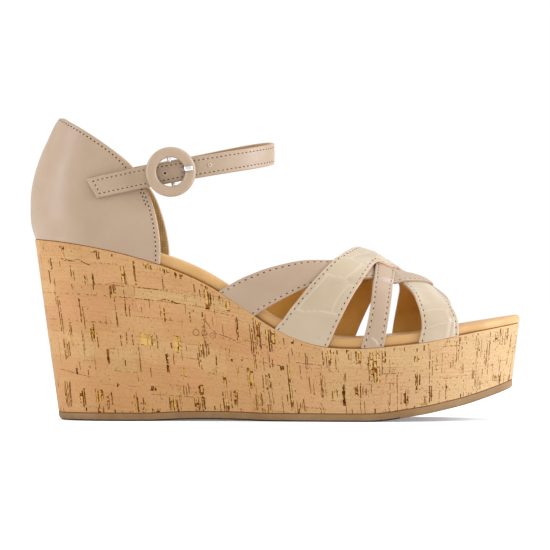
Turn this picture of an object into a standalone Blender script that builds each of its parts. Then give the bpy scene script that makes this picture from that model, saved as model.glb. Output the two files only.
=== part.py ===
"""Right wedge sandal with woven vamp straps, a closed heel counter and a buckled ankle strap.

Sizes are millimetres: x along the shoe (toe positive), y across it (lateral side negative)
and z up from the floor. They become metres where the meshes are made.
"""
import math
from bisect import bisect_right
from collections import namedtuple

import bpy
import bmesh
from mathutils import Vector

MM = 0.001

# Gap kept between pieces that rest on each other
SEAM = 0.3

# Place of the shoe's own axis in the shared frame
FRAME_SHIFT = (0.05, 0.289, 0.0)

# Sole sizes
WEDGE_BACK = -122.4
WEDGE_TOE = 124.6
HEEL_RAKE = 12.0
TOE_RAKE = 3.4
SIDE_DRAFT = 0.055
HEEL_ROUND = 32.0
HEEL_POWER = 2.0
TOE_ROUND = 58.0
TOE_POWER = 2.2
OUTSOLE_THICK = 3.7
OUTSOLE_EDGE = 0.9
STATIONS = 60

Section = namedtuple("Section", "along centre half_width seat ground")
SOLE = (
    Section(-124, 0.0, 31.5, 92.2, 0.0),
    Section(-105, 0.0, 32.4, 89.9, 0.0),
    Section(-85, 0.0, 32.6, 86.2, 0.0),
    Section(-65, -0.3, 32.0, 81.0, 0.0),
    Section(-50, -1.0, 31.3, 75.9, 0.6),
    Section(-35, -2.2, 31.0, 69.2, 0.9),
    Section(-20, -3.2, 31.8, 60.0, 0.7),
    Section(0, -4.0, 34.4, 46.6, 0.0),
    Section(13, -3.9, 37.0, 40.8, 0.0),
    Section(26, -3.2, 39.8, 37.6, 0.0),
    Section(42, -2.0, 42.6, 36.9, 0.0),
    Section(58, -0.6, 43.9, 38.1, 1.3),
    Section(75, 0.8, 43.5, 40.0, 5.0),
    Section(95, 2.2, 41.0, 44.0, 9.3),
    Section(125, 3.6, 36.0, 49.6, 17.2),
)

# Insole: how far its edge stays inside the wedge, its thickness, and the roll of its edge
Ledge = namedtuple("Ledge", "along inset thick")
INSOLE = (
    Ledge(-125, 2.5, 5.0),
    Ledge(-55, 2.5, 5.8),
    Ledge(-48, 2.3, 6.0),
    Ledge(-20, 2.3, 6.0),
    Ledge(20, 2.3, 5.2),
    Ledge(96, 2.3, 4.3),
    Ledge(108, 0.7, 4.0),
    Ledge(125, 0.7, 3.8),
)
Roll = namedtuple("Roll", "rise_share inset")
INSOLE_EDGE = (
    Roll(0.0, 0.4),
    Roll(0.12, 0.0),
    Roll(0.65, 0.0),
    Roll(0.90, 0.6),
    Roll(1.0, 1.9),
)

# Heel counter: its back line and its front edge from the seat to the collar
COUNTER_WALL = 2.0
COUNTER_INSET = 0.2
COUNTER_COLUMNS = 14
COUNTER_ROWS = 16
MEDIAL_EDGE_STEP = 3.4
COUNTER_INSIDE = (-80.0, 0.0, 110.0)
Rise = namedtuple("Rise", "share back_x back_z edge_x edge_z")
COUNTER = (
    Rise(0.00, -122.2, 92.5, -57.2, 79.0),
    Rise(0.12, -124.1, 98.5, -57.1, 86.5),
    Rise(0.25, -124.7, 106.5, -57.9, 95.5),
    Rise(0.40, -124.3, 116.5, -59.8, 105.0),
    Rise(0.55, -122.3, 126.0, -63.5, 115.3),
    Rise(0.70, -119.2, 135.2, -70.2, 125.2),
    Rise(0.85, -115.3, 143.8, -82.5, 137.3),
    Rise(0.95, -112.0, 150.6, -98.0, 147.6),
    Rise(1.00, -110.2, 153.3, -107.2, 152.9),
)
Waist = namedtuple("Waist", "above_seat width_share")
HEEL_FORM = (
    Waist(0, 1.0),
    Waist(14, 1.02),
    Waist(30, 0.975),
    Waist(45, 0.90),
    Waist(64, 0.79),
)

# Vamp: the crown of the foot form that the straps lie on
STRAP_WALL = 1.8
STRAP_INSET = 0.2
STRAP_SINK = 0.4
STRAP_EMBED = 0.35
STRAP_PRESS = 0.7
STRAP_FADE = 4.5
STRAP_LENGTHS = 44
STRAP_WIDTHS = 4
FOOT_WALL_SHARE = 0.045
FOOT_WALL_RISE = 6.2
CROWN_SHIFT = 4.0
Crown = namedtuple("Crown", "along height")
CROWN = (
    Crown(-40, 118.0),
    Crown(-20, 112.5),
    Crown(0, 106.0),
    Crown(10, 102.5),
    Crown(20, 98.5),
    Crown(32, 92.2),
    Crown(41.5, 86.0),
    Crown(48, 82.2),
    Crown(53, 78.9),
    Crown(58, 75.3),
    Crown(62, 73.2),
    Crown(66.5, 72.0),
    Crown(70.5, 71.1),
    Crown(74.5, 69.8),
    Crown(78, 68.0),
    Crown(82, 65.2),
    Crown(88, 61.8),
    Crown(95, 58.2),
    Crown(104, 54.0),
)

# Rear and front edge of each strap from the lateral side (round 0) over the crown (0.5) to the medial (1)
Path = namedtuple("Path", "round rear front")
WAIST_STRAP = (
    Path(0.000, -28.2, -9.8),
    Path(0.050, -22.5, -4.5),
    Path(0.090, -17.0, 2.0),
    Path(0.130, -10.7, 9.8),
    Path(0.165, -4.5, 17.6),
    Path(0.200, 3.5, 27.3),
    Path(0.235, 13.0, 38.2),
    Path(0.270, 25.7, 47.4),
    Path(0.320, 39.0, 60.0),
    Path(0.370, 47.0, 71.5),
    Path(0.430, 53.3, 77.8),
    Path(0.500, 58.5, 82.0),
    Path(0.550, 66.0, 85.0),
    Path(0.600, 70.5, 87.5),
    Path(0.650, 74.0, 89.0),
    Path(0.750, 77.0, 91.0),
    Path(0.900, 78.5, 93.0),
    Path(1.000, 79.0, 93.5),
)
WIDE_STRAP = (
    Path(0.000, 0.0, 26.6),
    Path(0.050, 4.4, 29.6),
    Path(0.100, 9.6, 33.4),
    Path(0.150, 15.4, 37.0),
    Path(0.200, 21.2, 40.5),
    Path(0.250, 26.5, 43.9),
    Path(0.300, 31.0, 46.8),
    Path(0.340, 34.0, 48.7),
    Path(0.370, 36.0, 50.8),
    Path(0.400, 37.6, 56.0),
    Path(0.440, 39.6, 59.2),
    Path(0.500, 42.5, 61.5),
    Path(0.550, 50.0, 66.0),
    Path(0.600, 57.5, 70.5),
    Path(0.650, 63.0, 75.0),
    Path(0.720, 64.2, 77.5),
    Path(0.800, 63.5, 78.0),
    Path(0.900, 62.0, 77.5),
    Path(1.000, 60.4, 77.0),
)
NARROW_STRAP = (
    Path(0.000, 42.8, 54.4),
    Path(0.100, 46.4, 56.5),
    Path(0.200, 48.2, 57.9),
    Path(0.300, 49.0, 58.8),
    Path(0.400, 49.5, 59.4),
    Path(0.500, 50.3, 60.3),
    Path(0.645, 48.3, 59.0),
    Path(0.810, 39.0, 51.0),
    Path(1.000, 27.0, 40.0),
)
TOE_STRAP = (
    Path(0.000, 71.4, 91.6),
    Path(0.060, 73.1, 91.3),
    Path(0.125, 72.7, 90.4),
    Path(0.206, 70.8, 88.9),
    Path(0.273, 68.6, 87.4),
    Path(0.331, 64.7, 85.4),
    Path(0.402, 60.3, 81.0),
    Path(0.500, 54.0, 72.5),
    Path(0.655, 36.0, 54.0),
    Path(0.810, 12.0, 34.0),
    Path(0.934, -6.0, 20.0),
    Path(1.000, -16.0, 11.5),
)

# Ankle strap: the middle of its inner face, from the tip on the lateral counter
# round the ankle to the end sewn on the medial counter
ANKLE_WALL = 1.8
ANKLE_WIDTH = 10.6
ANKLE_LENGTHS = 84
ANKLE_WIDTHS = 2
ON_COUNTER = None
Loop = namedtuple("Loop", "along across height")
ANKLE = (
    Loop(-91.7, ON_COUNTER, 116.8),
    Loop(-84.5, ON_COUNTER, 118.5),
    Loop(-77.5, ON_COUNTER, 120.0),
    Loop(-70.5, ON_COUNTER, 121.5),
    Loop(-62.0, -31.0, 123.3),
    Loop(-52.3, -31.4, 125.2),
    Loop(-38.0, -30.2, 127.8),
    Loop(-24.0, -26.4, 130.3),
    Loop(-11.5, -19.0, 132.6),
    Loop(-4.4, -10.2, 134.3),
    Loop(-2.2, 0.3, 135.5),
    Loop(-4.4, 10.8, 136.2),
    Loop(-11.5, 19.4, 135.8),
    Loop(-24.0, 26.4, 134.3),
    Loop(-38.0, 29.8, 131.9),
    Loop(-52.3, 30.8, 129.1),
    Loop(-62.0, 30.6, 127.0),
    Loop(-70.5, ON_COUNTER, 124.5),
    Loop(-77.5, ON_COUNTER, 122.9),
    Loop(-84.5, ON_COUNTER, 121.2),
    Loop(-90.5, ON_COUNTER, 119.6),
)
TIP_SLANT = 3.0
ANKLE_INSIDE = (-45.0, 0.0, 125.0)
LEAN_SCALE = 10.0
ANKLE_SEAM = 0.42

# Buckle: its ring faces the lateral side
BUCKLE_X = -52.3
BUCKLE_Z = 125.2
BUCKLE_SLOPE = 0.18
BAR_TILT = math.atan(BUCKLE_SLOPE)
BAR_UP = (-math.sin(BAR_TILT), 0.0, math.cos(BAR_TILT))
RING_RADIUS = 9.9
RING_HALF_WIDTH = 2.65
RING_HALF_THICK = 1.7
RING_TURNS = 48
RING_SIDES = 12
BAR_RADIUS = 0.9
BAR_REACH = 9.2
BAR_CORNER = 1.4
TAB_WALL = 1.0
TAB_WIDTH = 8.0
TAB_LENGTHS = 44
TAB_SLOT = 3.2
TAB_SLOT_REACH = 9.0
TAB_SLOT_AHEAD = 0.5
TAB_LEAN_ROOM = 0.75
TAB_SEWN = (-84.0, -77.5, -71.0)
TAB_ROUND = (-115.0, 115.0)
PRONG_WALL = 1.0
PRONG_WIDTH = 2.3
PRONG_LENGTHS = 40
PRONG_EYE = (-150.0, -440.0)

# Bends of the tab beside the bar, and of the prong from the bar out to the ring's front
Bend = namedtuple("Bend", "ahead depth")
TAB_LEAD = Bend(-9.0, -0.6)
TAB_FOLD = (Bend(-5.0, 1.35), Bend(-9.0, 1.0))
Reach = namedtuple("Reach", "ahead share")
PRONG_REACH = (
    Reach(2.2, 0.0),
    Reach(3.6, 0.085),
    Reach(5.2, 0.394),
    Reach(6.5, 0.732),
    Reach(7.6, 0.986),
    Reach(9.4, 1.0),
    Reach(10.8, 0.972),
)

# Punched holes of the ankle strap
PUNCH_SIDES = 14
PUNCH_DEPTH = 8.0
Punch = namedtuple("Punch", "along radius")
PUNCHES = (
    Punch(-54.9, 0.9),
    Punch(-47.4, 2.3),
    Punch(-33.5, 0.9),
)


def curve_through(places, values, limited=True):
    """A smooth curve through values at rising places; limited curves never overshoot."""
    steps = [b - a for a, b in zip(places, places[1:])]
    secants = [(b - a) / step for a, b, step in zip(values, values[1:], steps)]
    slopes = [secants[0]]
    for i in range(1, len(secants)):
        before = secants[i - 1]
        after = secants[i]
        slope = (before * steps[i] + after * steps[i - 1]) / (steps[i - 1] + steps[i])
        if limited:
            if before * after <= 0.0:
                slope = 0.0
            else:
                steepest = 3.0 * min(abs(before), abs(after))
                slope = math.copysign(min(abs(slope), steepest), slope)
        slopes.append(slope)
    slopes.append(secants[-1])

    def value(at):
        at = min(max(at, places[0]), places[-1])
        i = min(bisect_right(places, at) - 1, len(steps) - 1)
        u = (at - places[i]) / steps[i]
        rise = u * u * (3.0 - 2.0 * u)
        out = u * (1.0 - u) ** 2 * slopes[i] * steps[i]
        back = u * u * (u - 1.0) * slopes[i + 1] * steps[i]
        return values[i] + (values[i + 1] - values[i]) * rise + out + back

    return value


def column(table, name):
    """Curve of one named column of a table along the table's first column."""
    return curve_through([row[0] for row in table], [getattr(row, name) for row in table])


sole_centre = column(SOLE, "centre")
sole_half = column(SOLE, "half_width")
seat = column(SOLE, "seat")
ground = column(SOLE, "ground")
insole_inset = column(INSOLE, "inset")
insole_thick = column(INSOLE, "thick")
crown_height = column(CROWN, "height")
heel_share = column(HEEL_FORM, "width_share")
counter_lines = {name: column(COUNTER, name) for name in Rise._fields[1:]}
counter_back = curve_through([row.back_z for row in COUNTER], [row.back_x for row in COUNTER])


def smooth_step(share):
    """Ease from 0 to 1."""
    share = min(max(share, 0.0), 1.0)
    return share * share * (3.0 - 2.0 * share)


def rounding(distance, reach, power):
    """Share of the full width at a distance from a rounded end."""
    if distance >= reach:
        return 1.0
    return max(0.0, 1.0 - (1.0 - max(distance, 0.0) / reach) ** power) ** (1.0 / power)


def sole_round(x):
    """Share of the sole's width left by its rounded heel and toe."""
    heel = rounding(x - WEDGE_BACK, HEEL_ROUND, HEEL_POWER)
    toe = rounding(WEDGE_TOE - x, TOE_ROUND, TOE_POWER)
    return heel * toe


def sole_ring(back, toe, inset, height):
    """Points up the lateral side from heel to toe and back down the medial side.

    The ring keeps the wedge's plan between its own back and toe; inset and height are
    functions of the place along the shoe.
    """
    shares = [(1.0 - math.cos(math.pi * i / STATIONS)) / 2.0 for i in range(STATIONS + 1)]
    sides = {}
    for side in (-1, 1):
        points = []
        for share in shares:
            plan_x = WEDGE_BACK + (WEDGE_TOE - WEDGE_BACK) * share
            x = back + (toe - back) * share
            reach = (sole_half(plan_x) - inset(x)) * sole_round(plan_x)
            points.append((x, sole_centre(plan_x) + side * reach, height(x)))
        sides[side] = points
    return sides[-1] + sides[1][-2:0:-1]


def heel_outside(x, z, side):
    """Across place of the counter's outer face at a place along and up."""
    above = max(z - seat(x) - SEAM, 0.0)
    share = heel_share(above)
    end = rounding(x - counter_back(z), HEEL_ROUND * share, HEEL_POWER)
    return sole_centre(x) + side * (sole_half(x) - COUNTER_INSET) * share * end


def counter_point(share_up, share_round):
    """Point of the counter's outer face; share_round runs from lateral edge to medial edge."""
    side = -1 if share_round < 0.0 else 1
    edge_step = MEDIAL_EDGE_STEP if side > 0 else 0.0
    back_x = counter_lines["back_x"](share_up)
    back_z = counter_lines["back_z"](share_up)
    edge_x = counter_lines["edge_x"](share_up) + edge_step * (1.0 - share_up)
    edge_z = counter_lines["edge_z"](share_up)
    along = 1.0 - math.cos(abs(share_round) * math.pi / 2.0)
    x = back_x + (edge_x - back_x) * along
    straight = back_z + (edge_z - back_z) * along
    foot_x = COUNTER[0].back_x + (COUNTER[0].edge_x + edge_step - COUNTER[0].back_x) * along
    foot_straight = COUNTER[0].back_z + (COUNTER[0].edge_z - COUNTER[0].back_z) * along
    settle = seat(foot_x) + SEAM - foot_straight
    z = straight + settle * (1.0 - share_up) ** 2
    return (x, heel_outside(x, z, side), z)


def foot_point(x, turn):
    """Point of the foot form under the straps, turn 0 at the lateral edge and 1 at the medial."""
    base = seat(x) + SEAM
    side = -1 if turn < 0.5 else 1
    edge = sole_centre(x) + side * (sole_half(x) * sole_round(x) - STRAP_INSET - STRAP_WALL)
    from_edge = min(turn, 1.0 - turn)
    if from_edge < FOOT_WALL_SHARE:
        return Vector((x, edge, base + FOOT_WALL_RISE * from_edge / FOOT_WALL_SHARE))
    angle = math.pi * (from_edge - FOOT_WALL_SHARE) / (1.0 - 2.0 * FOOT_WALL_SHARE)
    shoulder = base + FOOT_WALL_RISE
    middle = sole_centre(x) + CROWN_SHIFT
    y = middle + (edge - middle) * math.cos(angle)
    z = shoulder + (crown_height(x) - shoulder) * math.sin(angle)
    return Vector((x, y, z))


def foot_directions(x, turn):
    """Directions along the shoe, round the foot, and out of the foot form."""
    small_x = 0.5
    small_turn = 0.004
    along = (foot_point(x + small_x, turn) - foot_point(x - small_x, turn)) / (2.0 * small_x)
    low = max(turn - small_turn, 0.0)
    high = min(turn + small_turn, 1.0)
    over = (foot_point(x, high) - foot_point(x, low)) / (high - low)
    return along, over, along.cross(over).normalized()


def strap_edges(table):
    """Function giving a strap's rear and front place at a turn round the foot."""
    rear = column(table, "rear")
    front = column(table, "front")
    return lambda turn: (rear(turn), front(turn))


# Straps in the order in which they are laid, each over the ones before it
LAYERS = {
    "toe_strap": strap_edges(TOE_STRAP),
    "waist_strap": strap_edges(WAIST_STRAP),
    "narrow_strap": strap_edges(NARROW_STRAP),
    "wide_strap": strap_edges(WIDE_STRAP),
}


def strap_lift(under, x, turn):
    """Height of a strap above the foot form where it rides over the straps under it."""
    layers = 0.0
    for name in under:
        rear, front = LAYERS[name](turn)
        outside = max(rear - x, x - front, 0.0)
        layers += 1.0 - smooth_step(outside / STRAP_FADE)
    pressed = (1.0 - STRAP_PRESS ** layers) / (1.0 - STRAP_PRESS)
    settled = smooth_step((min(turn, 1.0 - turn) - FOOT_WALL_SHARE) / FOOT_WALL_SHARE)
    return (STRAP_WALL - STRAP_SINK) * pressed * settled


def strap_faces(name):
    """Rows of points on a vamp strap's inner and outer face, from lateral to medial edge.

    Where the strap rides over other straps its inner face sinks into them, so that the joined
    straps hold no sealed pocket.
    """
    order = list(LAYERS)
    layer = order.index(name)
    inner = []
    outer = []
    for i in range(STRAP_LENGTHS + 1):
        turn = i / STRAP_LENGTHS
        rear, front = LAYERS[name](turn)
        inner.append([])
        outer.append([])
        for j in range(STRAP_WIDTHS + 1):
            x = rear + (front - rear) * j / STRAP_WIDTHS
            out = foot_directions(x, turn)[2]
            lift = strap_lift(order[:layer], x, turn)
            inner[-1].append(foot_point(x, turn) + out * min(lift, STRAP_EMBED * layer))
            outer[-1].append(foot_point(x, turn) + out * (lift + STRAP_WALL))
    return inner, outer


def path_through(points, count):
    """Evenly spread points on a smooth curve through the given ones."""
    places = [0.0]
    for a, b in zip(points, points[1:]):
        places.append(places[-1] + math.dist(a, b))
    axes = [curve_through(places, list(values), limited=False) for values in zip(*points)]
    spread = [places[-1] * i / count for i in range(count + 1)]
    return [Vector([axis(at) for axis in axes]) for at in spread]


def ribbon_rows(middle, ups, width, widths, slant=0.0):
    """Rows of points across a ribbon; the first row can be slanted."""
    rows = []
    for i, point in enumerate(middle):
        run = middle[min(i + 1, len(middle) - 1)] - middle[max(i - 1, 0)]
        row = []
        for j in range(widths + 1):
            share = j / widths - 0.5
            lean = run.normalized() * (-share * slant) if i == 0 else Vector()
            row.append(point + ups[i] * width * share + lean)
        rows.append(row)
    return rows


def ribbon_ups(middle, inner, leans):
    """Directions across a standing ribbon, square to its path and leaning with its support."""
    ups = []
    for i, point in enumerate(middle):
        run = middle[min(i + 1, len(middle) - 1)] - middle[max(i - 1, 0)]
        out = Vector((run.y, -run.x, 0.0)).normalized()
        if out.dot(point - inner) < 0.0:
            out = -out
        up = (out + Vector((0.0, 0.0, leans[i]))).cross(run).normalized()
        ups.append(-up if up.z < 0.0 else up)
    return ups


def ankle_rows():
    """Rows of points across the ankle strap's inner face."""
    small = 1.0
    points = []
    leans = []
    for i, row in enumerate(ANKLE):
        side = -1 if i < len(ANKLE) // 2 else 1
        if row.across is ON_COUNTER:
            y = heel_outside(row.along, row.height, side) + side * ANKLE_SEAM
            top = heel_outside(row.along, row.height + small, side)
            low = heel_outside(row.along, row.height - small, side)
            leans.append(-side * (top - low) / (2.0 * small))
        else:
            y = row.across
            leans.append(0.0)
        points.append((row.along, y, row.height))
    middle = path_through(points, ANKLE_LENGTHS)
    lean_path = path_through([p + (lean * LEAN_SCALE,) for p, lean in zip(points, leans)], ANKLE_LENGTHS)
    ups = ribbon_ups(middle, Vector(ANKLE_INSIDE), [lean[3] / LEAN_SCALE for lean in lean_path])
    return ribbon_rows(middle, ups, ANKLE_WIDTH, ANKLE_WIDTHS, TIP_SLANT)


# Depths of the buckle's pieces behind the lateral face of the strap
STRAP_INNER_Y = ANKLE[5].across
STRAP_OUTER_Y = STRAP_INNER_Y - ANKLE_WALL
RING_Y = STRAP_OUTER_Y - SEAM - RING_HALF_THICK
BAR_Y = STRAP_INNER_Y + SEAM + TAB_WALL + SEAM + BAR_RADIUS
TAB_TURN = BAR_RADIUS + SEAM + TAB_WALL / 2.0
PRONG_TURN = BAR_RADIUS + SEAM + PRONG_WALL / 2.0


def buckle_height(x):
    """Height of the strap's middle near the buckle."""
    return BUCKLE_Z + BUCKLE_SLOPE * (x - BUCKLE_X)


def turn_about_bar(radius, start, stop, count):
    """Plan points of a turn about the buckle's bar, angles from the toe direction."""
    points = []
    for i in range(count + 1):
        angle = math.radians(start + (stop - start) * i / count)
        points.append((BUCKLE_X + radius * math.cos(angle), BAR_Y + radius * math.sin(angle)))
    return points


def tab_path():
    """Plan of the tab: from inside the counter, round the bar and back on itself."""
    inside = COUNTER_WALL + SEAM + TAB_WALL / 2.0 + TAB_LEAN_ROOM
    plan = [(x, heel_outside(x, buckle_height(x), -1) + inside) for x in TAB_SEWN]
    plan.append((BUCKLE_X + TAB_LEAD.ahead, BAR_Y + TAB_LEAD.depth))
    plan += turn_about_bar(TAB_TURN, *TAB_ROUND, 8)
    plan += [(BUCKLE_X + bend.ahead, BAR_Y + bend.depth) for bend in TAB_FOLD]
    return path_through([(x, y, buckle_height(x)) for x, y in plan], TAB_LENGTHS)


def prong_path():
    """Plan of the prong: an eye round the bar, through the strap and over the ring."""
    start = BAR_Y - PRONG_TURN
    ring_front = RING_Y - RING_HALF_THICK - SEAM - PRONG_WALL / 2.0
    plan = turn_about_bar(PRONG_TURN, *PRONG_EYE, 10)
    plan += [(BUCKLE_X + reach.ahead, start + (ring_front - start) * reach.share) for reach in PRONG_REACH]
    return path_through([(x, y, buckle_height(x)) for x, y in plan], PRONG_LENGTHS)


def make_material(name, colour, roughness, metallic=0.0):
    """Plain material of one piece."""
    material = bpy.data.materials.new(name)
    material.use_nodes = True
    shader = material.node_tree.nodes["Principled BSDF"]
    shader.inputs["Base Color"].default_value = (*colour, 1.0)
    shader.inputs["Roughness"].default_value = roughness
    shader.inputs["Metallic"].default_value = metallic
    return material


def add_object(name, mesh, collection, shoe, material=None):
    """Put a mesh into a collection and hang it on the shoe's axis."""
    made = bpy.data.objects.new(name, mesh)
    collection.objects.link(made)
    made.parent = shoe
    if material:
        made.data.materials.append(material)
    return made


def stacked_mesh(name, rings):
    """Closed mesh between rings of points stacked upwards, capped from side to side."""
    form = bmesh.new()
    levels = [[form.verts.new(Vector(point) * MM) for point in ring] for ring in rings]
    count = len(rings[0])
    for low, high in zip(levels, levels[1:]):
        for i in range(count):
            after = (i + 1) % count
            form.faces.new((low[i], low[after], high[after], high[i]))
    for ring in (levels[0], levels[-1]):
        for i in range(count // 2):
            facing = [ring[i], ring[i + 1], ring[(count - i - 1) % count], ring[(count - i) % count]]
            corners = list(dict.fromkeys(facing))
            form.faces.new(corners if ring is levels[-1] else corners[::-1])
    bmesh.ops.recalc_face_normals(form, faces=form.faces)
    mesh = bpy.data.meshes.new(name)
    form.to_mesh(mesh)
    form.free()
    return mesh


def sheet_mesh(name, rows, inner):
    """Open mesh through rows of points, facing away from a place inside the shoe."""
    form = bmesh.new()
    net = [[form.verts.new(Vector(point) * MM) for point in row] for row in rows]
    for low, high in zip(net, net[1:]):
        for i in range(len(low) - 1):
            form.faces.new((low[i], low[i + 1], high[i + 1], high[i]))
    form.normal_update()
    form.faces.ensure_lookup_table()
    probe = form.faces[len(form.faces) // 2]
    if probe.normal.dot(probe.calc_center_median() - Vector(inner) * MM) < 0.0:
        bmesh.ops.reverse_faces(form, faces=form.faces)
    mesh = bpy.data.meshes.new(name)
    form.to_mesh(mesh)
    form.free()
    return mesh


def walled_mesh(name, inner, outer):
    """Closed mesh between two sheets of points that share their rows and columns."""
    form = bmesh.new()
    nets = [[[form.verts.new(Vector(point) * MM) for point in row] for row in sheet] for sheet in (inner, outer)]
    rows = len(inner)
    columns = len(inner[0])
    for net in nets:
        for i in range(rows - 1):
            for j in range(columns - 1):
                form.faces.new((net[i][j], net[i][j + 1], net[i + 1][j + 1], net[i + 1][j]))
    rim = [(0, j) for j in range(columns - 1)]
    rim += [(i, columns - 1) for i in range(rows - 1)]
    rim += [(rows - 1, j) for j in range(columns - 1, 0, -1)]
    rim += [(i, 0) for i in range(rows - 1, 0, -1)]
    low, high = nets
    for (i, j), (k, m) in zip(rim, rim[1:] + rim[:1]):
        form.faces.new((low[i][j], low[k][m], high[k][m], high[i][j]))
    bmesh.ops.recalc_face_normals(form, faces=form.faces)
    mesh = bpy.data.meshes.new(name)
    form.to_mesh(mesh)
    form.free()
    return mesh


def thicken(made, wall, offset):
    """Give an open sheet its wall."""
    shell = made.modifiers.new("wall", "SOLIDIFY")
    shell.thickness = wall * MM
    shell.offset = offset
    shell.use_even_offset = True
    return shell


def combine(made, other, operation):
    """Join or cut a solid with another one."""
    step = made.modifiers.new(other.name, "BOOLEAN")
    step.operation = operation
    step.solver = "EXACT"
    step.object = other
    other.hide_render = True
    other.display_type = "WIRE"


def level_cylinder(name, x, z, radius, collection, shoe):
    """Cutter across the strap at a place on the lateral side."""
    bpy.ops.mesh.primitive_cylinder_add(vertices=PUNCH_SIDES, radius=radius * MM, depth=PUNCH_DEPTH * MM)
    cutter = bpy.context.active_object
    for holder in list(cutter.users_collection):
        holder.objects.unlink(cutter)
    collection.objects.link(cutter)
    cutter.name = name
    cutter.parent = shoe
    cutter.rotation_euler = (math.pi / 2.0, 0.0, 0.0)
    cutter.location = Vector((x, STRAP_OUTER_Y, z)) * MM
    return cutter


def build_sole(parts, shoe):
    """Outsole, wedge and insole."""
    ground_back = WEDGE_BACK + HEEL_RAKE
    ground_toe = WEDGE_TOE - TOE_RAKE

    def drafted(x):
        return SIDE_DRAFT * (seat(x) - ground(x))

    def outsole_top(x):
        return ground(x) + OUTSOLE_THICK

    rings = [
        sole_ring(ground_back + OUTSOLE_EDGE, ground_toe - OUTSOLE_EDGE,
                  lambda x: drafted(x) + OUTSOLE_EDGE, ground),
        sole_ring(ground_back, ground_toe, drafted, lambda x: ground(x) + OUTSOLE_EDGE),
        sole_ring(ground_back, ground_toe, drafted, outsole_top),
    ]
    rubber = make_material("taupe_rubber", (0.42, 0.32, 0.23), 0.6)
    add_object("outsole", stacked_mesh("outsole", rings), parts, shoe, rubber)

    rings = [
        sole_ring(ground_back, ground_toe, drafted, lambda x: outsole_top(x) + SEAM),
        sole_ring(WEDGE_BACK, WEDGE_TOE, lambda x: 0.0, seat),
    ]
    cork = make_material("cork", (0.66, 0.40, 0.19), 0.55)
    add_object("wedge", stacked_mesh("wedge", rings), parts, shoe, cork)

    rings = []
    for roll in INSOLE_EDGE:
        back = WEDGE_BACK + INSOLE[0].inset + roll.inset
        toe = WEDGE_TOE - INSOLE[-1].inset - roll.inset
        rings.append(sole_ring(back, toe, lambda x: insole_inset(x) + roll.inset,
                               lambda x: seat(x) + SEAM + insole_thick(x) * roll.rise_share))
    tan = make_material("tan_leather", (0.62, 0.34, 0.12), 0.5)
    add_object("insole", stacked_mesh("insole", rings), parts, shoe, tan)


def build_counter(parts, shoe):
    """Hollow heel counter, its wall inside the outer face."""
    rows = []
    for i in range(COUNTER_ROWS + 1):
        shares = [j / COUNTER_COLUMNS - 1.0 for j in range(2 * COUNTER_COLUMNS + 1)]
        rows.append([counter_point(i / COUNTER_ROWS, share) for share in shares])
    nude = make_material("nude_leather_counter", (0.57, 0.41, 0.29), 0.42)
    made = add_object("heel_counter", sheet_mesh("heel_counter", rows, COUNTER_INSIDE), parts, shoe, nude)
    thicken(made, COUNTER_WALL, -1.0)


def build_vamp(parts, cutters, shoe):
    """Four vamp straps joined where they cross."""
    names = list(LAYERS)
    solids = []
    for name in names:
        holder = cutters if solids else parts
        solids.append(add_object(name, walled_mesh(name, *strap_faces(name)), holder, shoe))
    vamp = solids[0]
    vamp.name = "vamp_straps"
    vamp.data.materials.append(make_material("nude_leather_straps", (0.62, 0.47, 0.34), 0.4))
    for solid in solids[1:]:
        combine(vamp, solid, "UNION")


def build_ankle_strap(parts, cutters, shoe):
    """Ankle strap with its punched holes."""
    nude = make_material("nude_leather_ankle", (0.60, 0.44, 0.31), 0.42)
    mesh = sheet_mesh("ankle_strap", ankle_rows(), ANKLE_INSIDE)
    strap = add_object("ankle_strap", mesh, parts, shoe, nude)
    thicken(strap, ANKLE_WALL, 1.0)
    for i, punch in enumerate(PUNCHES):
        z = buckle_height(punch.along)
        combine(strap, level_cylinder(f"punch_{i}", punch.along, z, punch.radius, cutters, shoe), "DIFFERENCE")


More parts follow.
